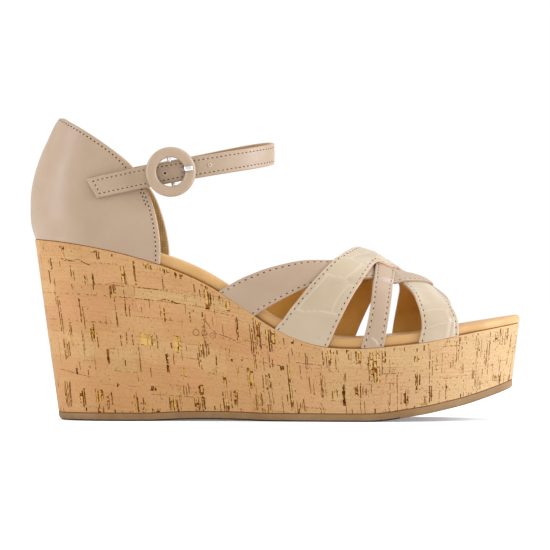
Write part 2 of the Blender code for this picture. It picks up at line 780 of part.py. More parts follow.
def build_buckle(parts, cutters, shoe):
    """Covered ring, bar, prong and the tab that holds the bar."""
    middle = Vector((BUCKLE_X, RING_Y, BUCKLE_Z)) * MM
    bpy.ops.mesh.primitive_torus_add(major_radius=RING_RADIUS * MM, minor_radius=RING_HALF_WIDTH * MM,
                                     major_segments=RING_TURNS, minor_segments=RING_SIDES)
    ring = bpy.context.active_object
    for holder in list(ring.users_collection):
        holder.objects.unlink(ring)
    parts.objects.link(ring)
    ring.name = "buckle_ring"
    ring.data.name = "buckle_ring"
    for vert in ring.data.vertices:
        vert.co.z *= RING_HALF_THICK / RING_HALF_WIDTH
    ring.rotation_euler = (math.pi / 2.0, 0.0, 0.0)
    ring.location = middle
    ring.parent = shoe
    ring.data.materials.append(make_material("nude_leather_ring", (0.57, 0.41, 0.29), 0.4))

    steel = make_material("polished_steel", (0.75, 0.74, 0.72), 0.2, 1.0)
    leg_end = RING_Y + RING_HALF_THICK + SEAM - BAR_Y
    corner = BAR_REACH - BAR_CORNER
    staple = ((leg_end, -BAR_REACH), (-BAR_CORNER, -BAR_REACH), (0.0, -corner),
              (0.0, corner), (-BAR_CORNER, BAR_REACH), (leg_end, BAR_REACH))
    line = bpy.data.curves.new("buckle_bar", "CURVE")
    line.dimensions = "3D"
    line.bevel_depth = BAR_RADIUS * MM
    line.bevel_resolution = 2
    line.use_fill_caps = True
    spline = line.splines.new("POLY")
    spline.points.add(len(staple) - 1)
    for point, (depth, rise) in zip(spline.points, staple):
        place = Vector((BUCKLE_X, BAR_Y + depth, BUCKLE_Z)) + Vector(BAR_UP) * rise
        point.co = (*(place * MM), 1.0)
    add_object("buckle_bar", line, parts, shoe, steel)

    inner = Vector((BUCKLE_X, 0.0, BUCKLE_Z))
    path = tab_path()
    mesh = sheet_mesh("buckle_tab", ribbon_rows(path, [Vector(BAR_UP)] * len(path), TAB_WIDTH, 2), inner)
    elastic = make_material("tab_leather", (0.50, 0.34, 0.22), 0.6)
    tab = add_object("buckle_tab", mesh, parts, shoe, elastic)
    thicken(tab, TAB_WALL, 0.0)
    bpy.ops.mesh.primitive_cube_add(size=1.0)
    slot = bpy.context.active_object
    for holder in list(slot.users_collection):
        holder.objects.unlink(slot)
    cutters.objects.link(slot)
    slot.name = "prong_slot"
    slot.parent = shoe
    slot.scale = Vector((TAB_SLOT_REACH, TAB_SLOT_REACH, TAB_SLOT)) * MM
    slot.location = Vector((BUCKLE_X + TAB_SLOT_AHEAD, BAR_Y, BUCKLE_Z)) * MM
    slot.rotation_euler = (0.0, -BAR_TILT, 0.0)
    combine(tab, slot, "DIFFERENCE")

    path = prong_path()
    mesh = sheet_mesh("buckle_prong", ribbon_rows(path, [Vector(BAR_UP)] * len(path), PRONG_WIDTH, 1), inner)
    prong = add_object("buckle_prong", mesh, parts, shoe, steel.copy())
    thicken(prong, PRONG_WALL, 0.0)


def build_shoe():
    """Every piece of the sandal, hung on one axis."""
    for old in list(bpy.data.objects):
        bpy.data.objects.remove(old, do_unlink=True)
    parts = bpy.data.collections.new("wedge_ankle_strap_sandal")
    cutters = bpy.data.collections.new("cutters")
    for collection in (parts, cutters):
        bpy.context.scene.collection.children.link(collection)
    cutters.hide_render = True
    shoe = bpy.data.objects.new("shoe_axis", None)
    shoe.location = Vector(FRAME_SHIFT) * MM
    parts.objects.link(shoe)
    build_sole(parts, shoe)
    build_counter(parts, shoe)
    build_vamp(parts, cutters, shoe)
    build_ankle_strap(parts, cutters, shoe)
    build_buckle(parts, cutters, shoe)


build_shoe()
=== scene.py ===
# %% [markdown]
# # A wedge sandal, piece by piece
# The packed sandal is the fixed frame: every piece below is laid over one of its solids, in the same
# place. We start by loading it.

# %% Load the packed sandal
import math
import random
from bisect import bisect_right
from collections import namedtuple
from functools import lru_cache

import bmesh
import bpy
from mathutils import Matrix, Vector


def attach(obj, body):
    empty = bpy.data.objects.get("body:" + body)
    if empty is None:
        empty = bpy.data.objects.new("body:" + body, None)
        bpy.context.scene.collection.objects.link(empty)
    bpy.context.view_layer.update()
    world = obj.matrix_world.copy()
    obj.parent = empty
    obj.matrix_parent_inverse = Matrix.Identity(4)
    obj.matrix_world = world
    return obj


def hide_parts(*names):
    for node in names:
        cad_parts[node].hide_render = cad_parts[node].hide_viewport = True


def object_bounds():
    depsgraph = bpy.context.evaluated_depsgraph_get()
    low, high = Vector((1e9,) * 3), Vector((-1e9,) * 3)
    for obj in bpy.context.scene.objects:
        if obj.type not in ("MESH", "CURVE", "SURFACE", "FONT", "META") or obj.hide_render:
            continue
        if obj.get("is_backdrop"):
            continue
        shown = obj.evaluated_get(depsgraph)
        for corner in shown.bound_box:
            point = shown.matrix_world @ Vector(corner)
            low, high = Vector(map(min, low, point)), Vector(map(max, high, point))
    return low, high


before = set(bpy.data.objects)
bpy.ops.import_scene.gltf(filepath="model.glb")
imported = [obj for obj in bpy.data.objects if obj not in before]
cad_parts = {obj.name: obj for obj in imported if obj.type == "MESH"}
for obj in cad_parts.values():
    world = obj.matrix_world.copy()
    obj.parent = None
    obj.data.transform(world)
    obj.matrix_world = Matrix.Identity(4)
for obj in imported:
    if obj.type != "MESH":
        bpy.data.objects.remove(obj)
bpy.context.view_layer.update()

# %% [markdown]
# ## Camera, floor and light
# The photograph was taken from far away, level with the middle of the wedge, so straight lines stay
# straight and the ground is almost a line. A long lens two metres away does the same. The lens
# length follows from one number measured in the photograph: how many metres one pixel covers.

# %% Camera
PHOTO_SIDE = 550
PIXEL = 0.0005102
EYE_DISTANCE = 2.0
EYE_TARGET = 0.0736
EYE_ELEVATION = math.radians(-0.2)
SENSOR_WIDTH = 36.0

lens = bpy.data.cameras.new("photo_camera")
lens.sensor_width = SENSOR_WIDTH
lens.lens = lens.sensor_width * EYE_DISTANCE / (PHOTO_SIDE * PIXEL)
camera = bpy.data.objects.new("photo_camera", lens)
camera.location = (0.0, -EYE_DISTANCE * math.cos(EYE_ELEVATION),
                   EYE_TARGET + EYE_DISTANCE * math.sin(EYE_ELEVATION))
camera.rotation_euler = (math.pi / 2.0 - EYE_ELEVATION, 0.0, 0.0)
bpy.context.scene.collection.objects.link(camera)
bpy.context.scene.camera = camera
print("lens in millimetres:", round(lens.lens, 1))

# %% [markdown]
# A product photograph on white is lit from the sides: what faces the toe is brightest, what faces the
# heel comes next, and what faces the camera stays darker. A white world gives the even light and the
# white background; two tall softboxes beside the sandal, the right one stronger, and a weak one over it
# add the form and a thin shadow in front of the sole.

# %% Floor and light
bpy.context.scene.view_settings.view_transform = "Standard"
STUDIO_GAIN = 1.27

world = bpy.data.worlds.new("white_studio")
world.use_nodes = True
world.node_tree.nodes["Background"].inputs["Color"].default_value = (1.0, 1.0, 1.0, 1.0)
world.node_tree.nodes["Background"].inputs["Strength"].default_value = 1.0
bpy.context.scene.world = world

Lamp = namedtuple("Lamp", "name place aim width height watts colour")
LAMPS = (
    Lamp("toe_softbox", (1.32, -0.26, 0.56), (0.0, 0.0, 0.08), 0.6, 1.0, 27.0, (0.87, 1.0, 1.2)),
    Lamp("heel_softbox", (-1.30, -0.42, 0.50), (0.0, 0.0, 0.1), 0.5, 1.0, 13.0, (0.9, 1.02, 1.22)),
    Lamp("top_softbox", (0.05, 0.40, 1.50), (0.0, 0.0, 0.05), 1.0, 0.8, 7.0, (0.94, 1.0, 1.08)),
)
for lamp in LAMPS:
    light = bpy.data.lights.new(lamp.name, "AREA")
    light.shape = "RECTANGLE"
    light.size = lamp.width
    light.size_y = lamp.height
    light.energy = lamp.watts
    light.color = lamp.colour
    stand = bpy.data.objects.new(lamp.name, light)
    stand.location = lamp.place
    stand.rotation_euler = (Vector(lamp.aim) - Vector(lamp.place)).to_track_quat("-Z", "Y").to_euler()
    bpy.context.scene.collection.objects.link(stand)

FLOOR_HALF = 6.0
floor_mesh = bpy.data.meshes.new("studio_floor")
corners = [(-FLOOR_HALF, -FLOOR_HALF, 0.0), (FLOOR_HALF, -FLOOR_HALF, 0.0),
           (FLOOR_HALF, FLOOR_HALF, 0.0), (-FLOOR_HALF, FLOOR_HALF, 0.0)]
floor_mesh.from_pydata(corners, [], [(0, 1, 2, 3)])
floor = bpy.data.objects.new("studio_floor", floor_mesh)
bpy.context.scene.collection.objects.link(floor)
paper = bpy.data.materials.new("white_paper")
paper.use_nodes = True
PAPER = {
    "Base Color": (0.8, 0.8, 0.8, 1.0),
    "Emission Color": (1.0, 1.0, 1.0, 1.0),
    "Emission Strength": 0.2,
    "Roughness": 0.9,
    "Specular IOR Level": 0.1,
}
for socket, value in PAPER.items():
    paper.node_tree.nodes["Principled BSDF"].inputs[socket].default_value = value
floor_mesh.materials.append(paper)
floor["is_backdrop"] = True
print("lamps:", [lamp.name for lamp in LAMPS])

# %% [markdown]
# ## Smooth curves from short tables
# A shoe last has hardly a straight line, but a few measured stations describe it well. Each table
# below lists sizes in millimetres at some places, and a smooth curve through one of its columns
# gives the size at any place between. The curve never overshoots its table, as a batten wouldn't.

# %% Curves
MM = 0.001
SHIFT = Vector((0.05, 0.289, 0.0))


def curve_through(places, values, limited=True):
    """A smooth curve through values at rising places; limited curves never overshoot."""
    steps = [b - a for a, b in zip(places, places[1:])]
    secants = [(b - a) / step for a, b, step in zip(values, values[1:], steps)]
    slopes = [secants[0]]
    for i in range(1, len(secants)):
        before = secants[i - 1]
        after = secants[i]
        slope = (before * steps[i] + after * steps[i - 1]) / (steps[i - 1] + steps[i])
        if limited:
            if before * after <= 0.0:
                slope = 0.0
            else:
                steepest = 3.0 * min(abs(before), abs(after))
                slope = math.copysign(min(abs(slope), steepest), slope)
        slopes.append(slope)
    slopes.append(secants[-1])

    def value(at):
        at = min(max(at, places[0]), places[-1])
        i = min(bisect_right(places, at) - 1, len(steps) - 1)
        u = (at - places[i]) / steps[i]
        rise = u * u * (3.0 - 2.0 * u)
        out = u * (1.0 - u) ** 2 * slopes[i] * steps[i]
        back = u * u * (u - 1.0) * slopes[i + 1] * steps[i]
        return values[i] + (values[i + 1] - values[i]) * rise + out + back

    return value


def column(table, name):
    """Curve of one named column of a table along the table's first column."""
    return curve_through([row[0] for row in table], [getattr(row, name) for row in table])


def path_through(points, count):
    """Evenly spread points on a smooth curve through the given ones."""
    places = [0.0]
    for a, b in zip(points, points[1:]):
        places.append(places[-1] + math.dist(a, b))
    axes = [curve_through(places, list(values), limited=False) for values in zip(*points)]
    spread = [places[-1] * i / count for i in range(count + 1)]
    return [Vector([axis(at) for axis in axes]) for at in spread]


def smooth_step(share):
    """Ease from 0 to 1."""
    share = min(max(share, 0.0), 1.0)
    return share * share * (3.0 - 2.0 * share)


def rounding(distance, reach, power):
    """Share of the full width at a distance from a rounded end."""
    if distance >= reach:
        return 1.0
    return max(0.0, 1.0 - (1.0 - max(distance, 0.0) / reach) ** power) ** (1.0 / power)


print("a round end is", round(rounding(5.0, 10.0, 2.0), 2), "wide at half its reach")

# %% [markdown]
# ## Making one piece
# Every piece goes through one function: it takes points in millimetres and faces, sews coincident
# points together, turns the faces outwards and hands the finished mesh to the frame. Pieces that
# carry a pattern also get flat wrap coordinates or a painted value at each point.

# %% Piece maker
SEWN = 1e-7


def make_piece(name, points, faces, finishes, replaced=(),
               kinds=None, wrap=None, marks=None, closed=True):
    """Mesh object from points in millimetres, riding on the sandal."""
    form = bmesh.new()
    flat = form.loops.layers.uv.new("wrap") if wrap else None
    mark = form.verts.layers.float.new("mark") if marks else None
    verts = [form.verts.new((SHIFT + Vector(point)) * MM) for point in points]
    if mark:
        for vert, value in zip(verts, marks):
            vert[mark] = value
    for index, around in enumerate(faces):
        face = form.faces.new([verts[corner] for corner in around])
        face.smooth = True
        face.material_index = kinds[index] if kinds else 0
        if flat:
            for loop, corner in zip(face.loops, around):
                loop[flat].uv = wrap[corner]
    if closed:
        bmesh.ops.remove_doubles(form, verts=form.verts, dist=SEWN)
        bmesh.ops.recalc_face_normals(form, faces=form.faces)
    mesh = bpy.data.meshes.new(name)
    form.to_mesh(mesh)
    form.free()
    for finish in finishes:
        mesh.materials.append(finish)
    piece = bpy.data.objects.new(name, mesh)
    bpy.context.scene.collection.objects.link(piece)
    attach(piece, "root")
    if replaced:
        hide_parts(*replaced)
    print(name, "has", len(mesh.polygons), "faces")
    return piece


def grid_faces(rows, columns, start=0, wrapped=False):
    """Four-sided faces over rows and columns of points."""
    faces = []
    for i in range(rows - 1):
        for j in range(columns if wrapped else columns - 1):
            after = (j + 1) % columns
            a = start + i * columns
            b = a + columns
            faces.append((a + j, a + after, b + after, b + j))
    return faces


print("three rows of four points make", len(grid_faces(3, 4)), "faces")

# %% [markdown]
# Leather parts are two skins, the leather outside and the lining inside, joined by an edge that a
# maker rounds off and paints. This helper takes both skins as rows of points and adds that rim. The
# kinds it returns tell which finish a face gets: 0 for the leather, 1 for the rim, 2 for the lining.

# %% Leather shell
RIM_STEPS = 5
RIM_BULGE = 0.55
SKIN_KIND = 0
RIM_KIND = 1
LINING_KIND = 2


def leather_shell(outer, inner):
    """Points, faces and kinds of a skin and a lining joined by a rounded rim."""
    rows = len(outer)
    columns = len(outer[0])
    size = rows * columns
    points = [p for row in outer for p in row] + [p for row in inner for p in row]
    faces = grid_faces(rows, columns)
    kinds = [SKIN_KIND] * len(faces) + [LINING_KIND] * len(faces)
    faces = faces + [around[::-1] for around in grid_faces(rows, columns, start=size)]
    border = [(0, j) for j in range(columns - 1)]
    border += [(i, columns - 1) for i in range(rows - 1)]
    border += [(rows - 1, j) for j in range(columns - 1, 0, -1)]
    border += [(i, 0) for i in range(rows - 1, 0, -1)]
    ribs = []
    for i, j in border:
        skin = outer[i][j]
        lining = inner[i][j]
        near_i = min(max(i, 1), rows - 2)
        near_j = min(max(j, 1), columns - 2)
        middle = (skin + lining) / 2.0
        away = middle - (outer[near_i][near_j] + inner[near_i][near_j]) / 2.0
        half = (skin - lining) / 2.0
        away -= half * (away.dot(half) / half.length_squared)
        away = away.normalized() * half.length * RIM_BULGE
        rib = [i * columns + j]
        for step in range(1, RIM_STEPS):
            angle = math.pi * step / RIM_STEPS
            points.append(middle + half * math.cos(angle) + away * math.sin(angle))
            rib.append(len(points) - 1)
        rib.append(size + i * columns + j)
        ribs.append(rib)
    for rib, after in zip(ribs, ribs[1:] + ribs[:1]):
        for step in range(RIM_STEPS):
            faces.append((rib[step], rib[step + 1], after[step + 1], after[step]))
            kinds.append(RIM_KIND)
    return points, faces, kinds


def swept(path, ups, section, closed=False):
    """Points and faces of a section of (up, out) sizes carried along a path."""
    points = []
    count = len(path)
    for i, place in enumerate(path):
        before = path[(i - 1) % count] if closed else path[max(i - 1, 0)]
        after = path[(i + 1) % count] if closed else path[min(i + 1, count - 1)]
        out = (after - before).cross(ups[i]).normalized()
        points += [place + ups[i] * up + out * side for up, side in section]
    sides = len(section)
    faces = grid_faces(count, sides, wrapped=True)
    last = (count - 1) * sides
    if closed:
        faces += [(last + j, last + (j + 1) % sides, (j + 1) % sides, j) for j in range(sides)]
    else:
        faces += [tuple(range(sides)), tuple(range(last, last + sides))]
    return points, faces


def oval(half_up, half_out, sides, power=1.0):
    """Section of a rounded bar; a power under 1 squares it off."""
    section = []
    for i in range(sides):
        angle = 2.0 * math.pi * i / sides
        up = math.copysign(abs(math.cos(angle)) ** power, math.cos(angle))
        out = math.copysign(abs(math.sin(angle)) ** power, math.sin(angle))
        section.append((half_up * up, half_out * out))
    return section


print("kinds of faces: skin", SKIN_KIND, "rim", RIM_KIND, "lining", LINING_KIND)

# %% [markdown]
# ## Finishes
# A finish here is a small net of texture nodes. Colours are noted as they look in the photograph, on
# its 0 to 255 scale, and turned into the leather's own colour by taking out the studio's light. Small
# helpers keep the nets readable: one adds a node, one mixes two colours, one combines two values.

# %% Node helpers
PHOTO_WHITE = 255.0


def light_share(value):
    """Share of light behind a photo value, by the standard curve of screens."""
    share = value / PHOTO_WHITE
    return share / 12.92 if share <= 0.04045 else ((share + 0.055) / 1.055) ** 2.4


def photo_colour(red, green, blue):
    """Surface colour that looks like this in the studio's light."""
    return (*(light_share(value) / STUDIO_GAIN for value in (red, green, blue)), 1.0)


def new_finish(name, roughness, coat=0.0, coat_roughness=0.3, metallic=0.0, specular=0.5):
    """Empty finish with its shader's uniform values."""
    finish = bpy.data.materials.new(name)
    finish.use_nodes = True
    shader = finish.node_tree.nodes["Principled BSDF"]
    shader.inputs["Roughness"].default_value = roughness
    shader.inputs["Metallic"].default_value = metallic
    shader.inputs["Coat Weight"].default_value = coat
    shader.inputs["Coat Roughness"].default_value = coat_roughness
    shader.inputs["Specular IOR Level"].default_value = specular
    return finish, finish.node_tree, shader


def add_node(tree, kind, settings=None, **sockets):
    """Node with its settings, whose sockets take values or links."""
    node = tree.nodes.new(kind)
    for name, value in (settings or {}).items():
        setattr(node, name, value)
    for name, value in sockets.items():
        socket = node.inputs[name.replace("_", " ")]
        if isinstance(value, bpy.types.NodeSocket):
            tree.links.new(value, socket)
        else:
            socket.default_value = value
    return node


def mixed(tree, share, first, second):
    """Colour socket between two colours or sockets."""
    node = tree.nodes.new("ShaderNodeMix")
    node.data_type = "RGBA"
    inputs = {socket.identifier: socket for socket in node.inputs}
    for key, value in (("Factor_Float", share), ("A_Color", first), ("B_Color", second)):
        if isinstance(value, bpy.types.NodeSocket):
            tree.links.new(value, inputs[key])
        else:
            inputs[key].default_value = value
    outputs = {socket.identifier: socket for socket in node.outputs}
    return outputs["Result_Color"]


def combined(tree, operation, *values):
    """Value of one operation on one or two sockets."""
    node = add_node(tree, "ShaderNodeMath", {"operation": operation})
    for value, socket in zip(values, node.inputs):
        tree.links.new(value, socket)
    return node.outputs["Value"]


def ramp(tree, value, low, high, to_low=0.0, to_high=1.0):
    """Value stretched between two limits."""
    return add_node(tree, "ShaderNodeMapRange", Value=value, From_Min=low, From_Max=high,
                    To_Min=to_low, To_Max=to_high).outputs["Result"]


def noise(tree, place, scale, detail=3.0, roughness=0.55):
    """Cloudy value at a place."""
    return add_node(tree, "ShaderNodeTexNoise", Vector=place, Scale=scale, Detail=detail,
                    Roughness=roughness).outputs["Fac"]


def bumped(tree, shader, height, depth, strength=1.0):
    """Small relief of a surface, depth in millimetres."""
    bump = add_node(tree, "ShaderNodeBump", Height=height, Strength=strength, Distance=depth * MM)
    tree.links.new(bump.outputs["Normal"], shader.inputs["Normal"])


def object_place(tree):
    """Place on the sandal in metres."""
    return tree.nodes.new("ShaderNodeTexCoord").outputs["Object"]


print("white of the photograph as a surface colour:", round(photo_colour(255, 255, 255)[0], 3))

# %% [markdown]
# ### Leathers
# Smooth calf leather has pores under a millimetre apart, and its dye is never quite even. The cells of a
# Voronoi texture make the pores, and a slow noise makes the dye. Its shine comes from a thin coat over a
# duller base. The embossed straps take the same finish, glossier and paler, and their plates are modelled
# in the mesh: the painted mark at each point lightens the lines of the troughs and folds, a painted
# highlight.

# %% Leather finishes
COAT_ROUGHNESS = 0.28
DYE_SCALE = 55.0
GRAIN_SCALE = 2400.0
SHEEN_SCALE = 130.0
SHEEN_GLOSSIER = 0.05
SHEEN_DULLER = 0.07


def leather_finish(name, colour, deep, roughness, coat, grain=0.8, depth=0.03, ridge=None, specular=0.35):
    """Dyed leather with pores; a ridge colour, a painted highlight, shows where points are marked."""
    finish, tree, shader = new_finish(name, roughness, coat, COAT_ROUGHNESS, specular=specular)
    place = object_place(tree)
    dye = ramp(tree, noise(tree, place, DYE_SCALE), 0.35, 0.68)
    skin = mixed(tree, dye, photo_colour(*deep), photo_colour(*colour))
    pores = add_node(tree, "ShaderNodeTexVoronoi", {"feature": "SMOOTH_F1"}, Vector=place,
                     Scale=1.0 / (grain * MM)).outputs["Distance"]
    if ridge:
        mark = add_node(tree, "ShaderNodeAttribute", {"attribute_name": "mark"}).outputs["Fac"]
        skin = mixed(tree, mark, skin, photo_colour(*ridge))
    tree.links.new(skin, shader.inputs["Base Color"])
    relief = combined(tree, "ADD", pores, noise(tree, place, GRAIN_SCALE, 2.0))
    bumped(tree, shader, relief, depth)
    sheen_map = ramp(tree, noise(tree, place, SHEEN_SCALE), 0.3, 0.7,
                     roughness - SHEEN_GLOSSIER, roughness + SHEEN_DULLER)
    tree.links.new(sheen_map, shader.inputs["Roughness"])
    return finish


# The ridge colours are painted highlights, laid where the mark is on the embossed plates and folds.
nude_leather = leather_finish("nude_leather", (173, 146, 119), (168, 140, 112), 0.48, 0.05,
                              ridge=(205, 183, 160))
# The ring's leather is the same as the straps', a little lighter: painted light on the ring.
lit_ring_leather = leather_finish("lit_ring_leather", (178, 151, 124), (173, 145, 117), 0.42, 0.08)
embossed_leather = leather_finish("embossed_leather", (185, 164, 134), (180, 157, 127), 0.32, 0.25,
                                  grain=1.1, depth=0.015, ridge=(206, 188, 164))
edge_paint = leather_finish("edge_paint", (196, 160, 130), (186, 148, 116), 0.5, 0.05)
tan_lining = leather_finish("tan_lining", (220, 164, 78), (202, 145, 62), 0.62, 0.0,
                            grain=0.5, specular=0.2)
strap_lining = leather_finish("strap_lining", (178, 142, 96), (162, 124, 80), 0.7, 0.0,
                              grain=0.5, specular=0.2)
footbed_leather = leather_finish("footbed_leather", (203, 157, 97), (194, 146, 86), 0.5, 0.06, grain=0.7)
# Pale thread, also used as the painted highlight on the rims of the punched holes.
thread_and_rim_highlight = leather_finish("thread_and_rim_highlight", (196, 170, 143), (184, 156, 128), 0.6, 0.0, grain=0.3)
painted_hole_shade = leather_finish("painted_hole_shade", (74, 46, 28), (54, 32, 20), 0.9, 0.0, grain=0.3, specular=0.0)
print("leathers:", [finish.name for finish in bpy.data.materials if "leather" in finish.name])

# %% [markdown]
# The heel is lined with a coarse golden fabric. Two wave textures at right angles stand for its warp and
# its weft; where both are high a thread comes to the top, and where they are low the colour darkens, a
# painted shade between the threads.

# %% Heel lining
WAVE_WIDTH = 0.314
CLOTH_CLOUDS = 140.0
CLOTH_DEPTH = 0.15


def woven_finish(name, colour, deep, thread):
    """Plain woven fabric with threads of a width in millimetres."""
    finish, tree, shader = new_finish(name, 0.8, specular=0.2)
    place = object_place(tree)
    threads = []
    for direction in ("X", "Z"):
        wave = add_node(tree, "ShaderNodeTexWave", {"bands_direction": direction}, Vector=place,
                        Scale=WAVE_WIDTH / (thread * MM), Distortion=1.5, Detail=2.0, Detail_Scale=1.0)
        threads.append(wave.outputs["Fac"])
    weave = combined(tree, "MULTIPLY", *threads)
    cloud = ramp(tree, noise(tree, place, CLOTH_CLOUDS), 0.3, 0.7)
    cloth = mixed(tree, cloud, photo_colour(*deep), photo_colour(*colour))
    # Between the threads the colour darkens: painted shade.
    weave_shade = ramp(tree, weave, 0.0, 0.8, 0.45, 0.0)
    tree.links.new(mixed(tree, weave_shade, cloth, photo_colour(*deep)), shader.inputs["Base Color"])
    bumped(tree, shader, weave, CLOTH_DEPTH)
    return finish


heel_lining = woven_finish("heel_lining", (212, 178, 118), (160, 128, 76), 0.9)
print("heel lining made")

# %% [markdown]
# ### Cork
# The wedge is wrapped in a veneer glued up from slices of bark. It shows blocks in lengthwise bands,
# fine growth lines along them, and upright pores, dark or filled with gold dust. Stretching noise in
# one direction gives lines: along the wrap for growth, upright for pores. A brick pattern, bent by
# noise, gives the blocks. The wrap coordinates are millimetres round and up the wedge.

# %% Cork finish
CORK_LINE = (158, 102, 56)
CORK_PORE = (92, 53, 21)
TOE_CORK = (205, 176, 132)
TOE_PALES_FROM = 120.0
TOE_PALEST_AT = 250.0
BLOCK_LONG = 44.0
BLOCK_TALL = 12.5
BLOCK_JOINT = 0.16
BLOCK_BEND = (7.0, 5.0, 0.0)
CORK_DEPTH = 0.12


def cork_finish(name, warm, pale, line=CORK_LINE, toe_share=0.5, specular=0.15):
    """Cork veneer over wrap coordinates in millimetres, paler towards the toe."""
    finish, tree, shader = new_finish(name, 0.6, specular=specular)
    wrap = add_node(tree, "ShaderNodeUVMap", {"uv_map": "wrap"}).outputs["UV"]
    line_colour = photo_colour(*line)
    pore_colour = photo_colour(*CORK_PORE)

    def stretched(round_scale, up_scale):
        scale = (round_scale, up_scale, 1.0)
        return add_node(tree, "ShaderNodeMapping", Vector=wrap, Scale=scale).outputs["Vector"]

    # Blocks of veneer, bent so that no joint is straight, each with its own tone.
    bend = add_node(tree, "ShaderNodeTexNoise", Vector=stretched(0.06, 0.06), Scale=1.0, Detail=2.0)
    bent = add_node(tree, "ShaderNodeVectorMath", {"operation": "MULTIPLY_ADD"})
    tree.links.new(bend.outputs["Color"], bent.inputs[0])
    bent.inputs[1].default_value = BLOCK_BEND
    tree.links.new(wrap, bent.inputs[2])
    blocks = add_node(tree, "ShaderNodeTexBrick",
                      {"offset": 0.43, "offset_frequency": 2, "squash": 0.62, "squash_frequency": 3},
                      Vector=bent.outputs["Vector"], Color1=(0.0, 0.0, 0.0, 1.0),
                      Color2=(1.0, 1.0, 1.0, 1.0), Mortar=(0.5, 0.5, 0.5, 1.0), Scale=1.0,
                      Mortar_Size=BLOCK_JOINT, Mortar_Smooth=0.3,
                      Brick_Width=BLOCK_LONG, Row_Height=BLOCK_TALL)
    tone = mixed(tree, 0.45, noise(tree, stretched(0.05, 0.1), 1.0, 5.0), blocks.outputs["Color"])
    colour = mixed(tree, ramp(tree, tone, 0.25, 0.75), photo_colour(*warm), photo_colour(*pale))
    # The veneer gets paler from the middle of the shoe to the toe.
    round_place = add_node(tree, "ShaderNodeSeparateXYZ", Vector=wrap).outputs["X"]
    from_heel = combined(tree, "ABSOLUTE", round_place)
    toe_pale = ramp(tree, from_heel, TOE_PALES_FROM, TOE_PALEST_AT, 0.0, toe_share)
    colour = mixed(tree, toe_pale, colour, photo_colour(*TOE_CORK))
    # Growth lines along the wrap, faint wavy rings here and there, and fine grit.
    growth = noise(tree, stretched(0.03, 1.1), 1.0, 5.0, 0.7)
    colour = mixed(tree, ramp(tree, growth, 0.52, 0.74, 0.0, 0.35), colour, line_colour)
    rings = add_node(tree, "ShaderNodeTexWave", {"bands_direction": "Y"}, Vector=stretched(0.12, 1.0),
                     Scale=0.17, Distortion=11.0, Detail=4.0, Detail_Scale=0.6).outputs["Fac"]
    faint = ramp(tree, noise(tree, stretched(0.03, 0.08), 1.0, 2.0), 0.46, 0.66, 0.0, 0.3)
    ring_lines = combined(tree, "MULTIPLY", ramp(tree, rings, 0.72, 1.0), faint)
    colour = mixed(tree, ring_lines, colour, line_colour)
    grit = noise(tree, stretched(0.7, 0.9), 1.0, 5.0, 0.65)
    colour = mixed(tree, ramp(tree, grit, 0.48, 0.72, 0.0, 0.5), colour, line_colour)
    # Joints between the blocks, open in places only.
    seams = ramp(tree, noise(tree, stretched(0.09, 0.09), 1.0, 2.0), 0.5, 0.62, 0.0, 0.5)
    colour = mixed(tree, combined(tree, "MULTIPLY", seams, blocks.outputs["Fac"]), colour, pore_colour)
    # Fine upright pores in clusters, under the large ones that are modelled later.
    upright = ramp(tree, noise(tree, stretched(0.85, 0.055), 1.0, 3.0, 0.6), 0.64, 0.71)
    clusters = ramp(tree, noise(tree, stretched(0.045, 0.075), 1.0, 2.0), 0.5, 0.6)
    pores = combined(tree, "MULTIPLY", upright, clusters)
    colour = mixed(tree, ramp(tree, pores, 0.0, 1.0, 0.0, 0.6), colour, pore_colour)
    tree.links.new(colour, shader.inputs["Base Color"])
    bumped(tree, shader, combined(tree, "SUBTRACT", growth, pores), CORK_DEPTH, 0.5)
    return finish


bark_cork = cork_finish("bark_cork", (187, 137, 86), (196, 153, 101))
pink_cork = cork_finish("pink_cork", (190, 137, 89), (197, 149, 99))
olive_cork = cork_finish("olive_cork", (186, 144, 91), (196, 158, 105))
gold_cork = cork_finish("gold_cork", (194, 146, 70), (212, 168, 92))
# Brown pore colour, also used as painted shade along the wedge's top edge and foot.
brown_pore_and_seam_shade = cork_finish("brown_pore_and_seam_shade", (122, 67, 22), (146, 89, 36), CORK_PORE, 0.0, 0.0)
dark_pore = cork_finish("dark_pore", (70, 34, 7), (92, 49, 13), CORK_PORE, 0.0, 0.0)
print("cork finishes made")

# %% [markdown]
# ### Rubber and steel
# The outsole is a thin sheet of taupe rubber with a fine moulded grain; its foot is painted almost black,
# a painted contact shadow where it stands on the floor.
# The buckle's bar and prong are polished steel: bright, with hairline polishing marks along them.

# %% Rubber and steel finishes
RUBBER_CLOUDS = 70.0
RUBBER_GRAIN = 1500.0
RUBBER_DEPTH = 0.04
HAIRLINES = (150.0, 4000.0, 4000.0)
DULL_STEEL = (0.62, 0.62, 0.63, 1.0)
BRIGHT_STEEL = (0.8, 0.8, 0.8, 1.0)


def rubber_finish(name, colour, deep):
    """Matt rubber with fine grain."""
    finish, tree, shader = new_finish(name, 0.62, specular=0.25)
    place = object_place(tree)
    cloud = ramp(tree, noise(tree, place, RUBBER_CLOUDS, 5.0), 0.35, 0.65)
    rubber = mixed(tree, cloud, photo_colour(*deep), photo_colour(*colour))
    tree.links.new(rubber, shader.inputs["Base Color"])
    bumped(tree, shader, noise(tree, place, RUBBER_GRAIN, 3.0), RUBBER_DEPTH)
    return finish


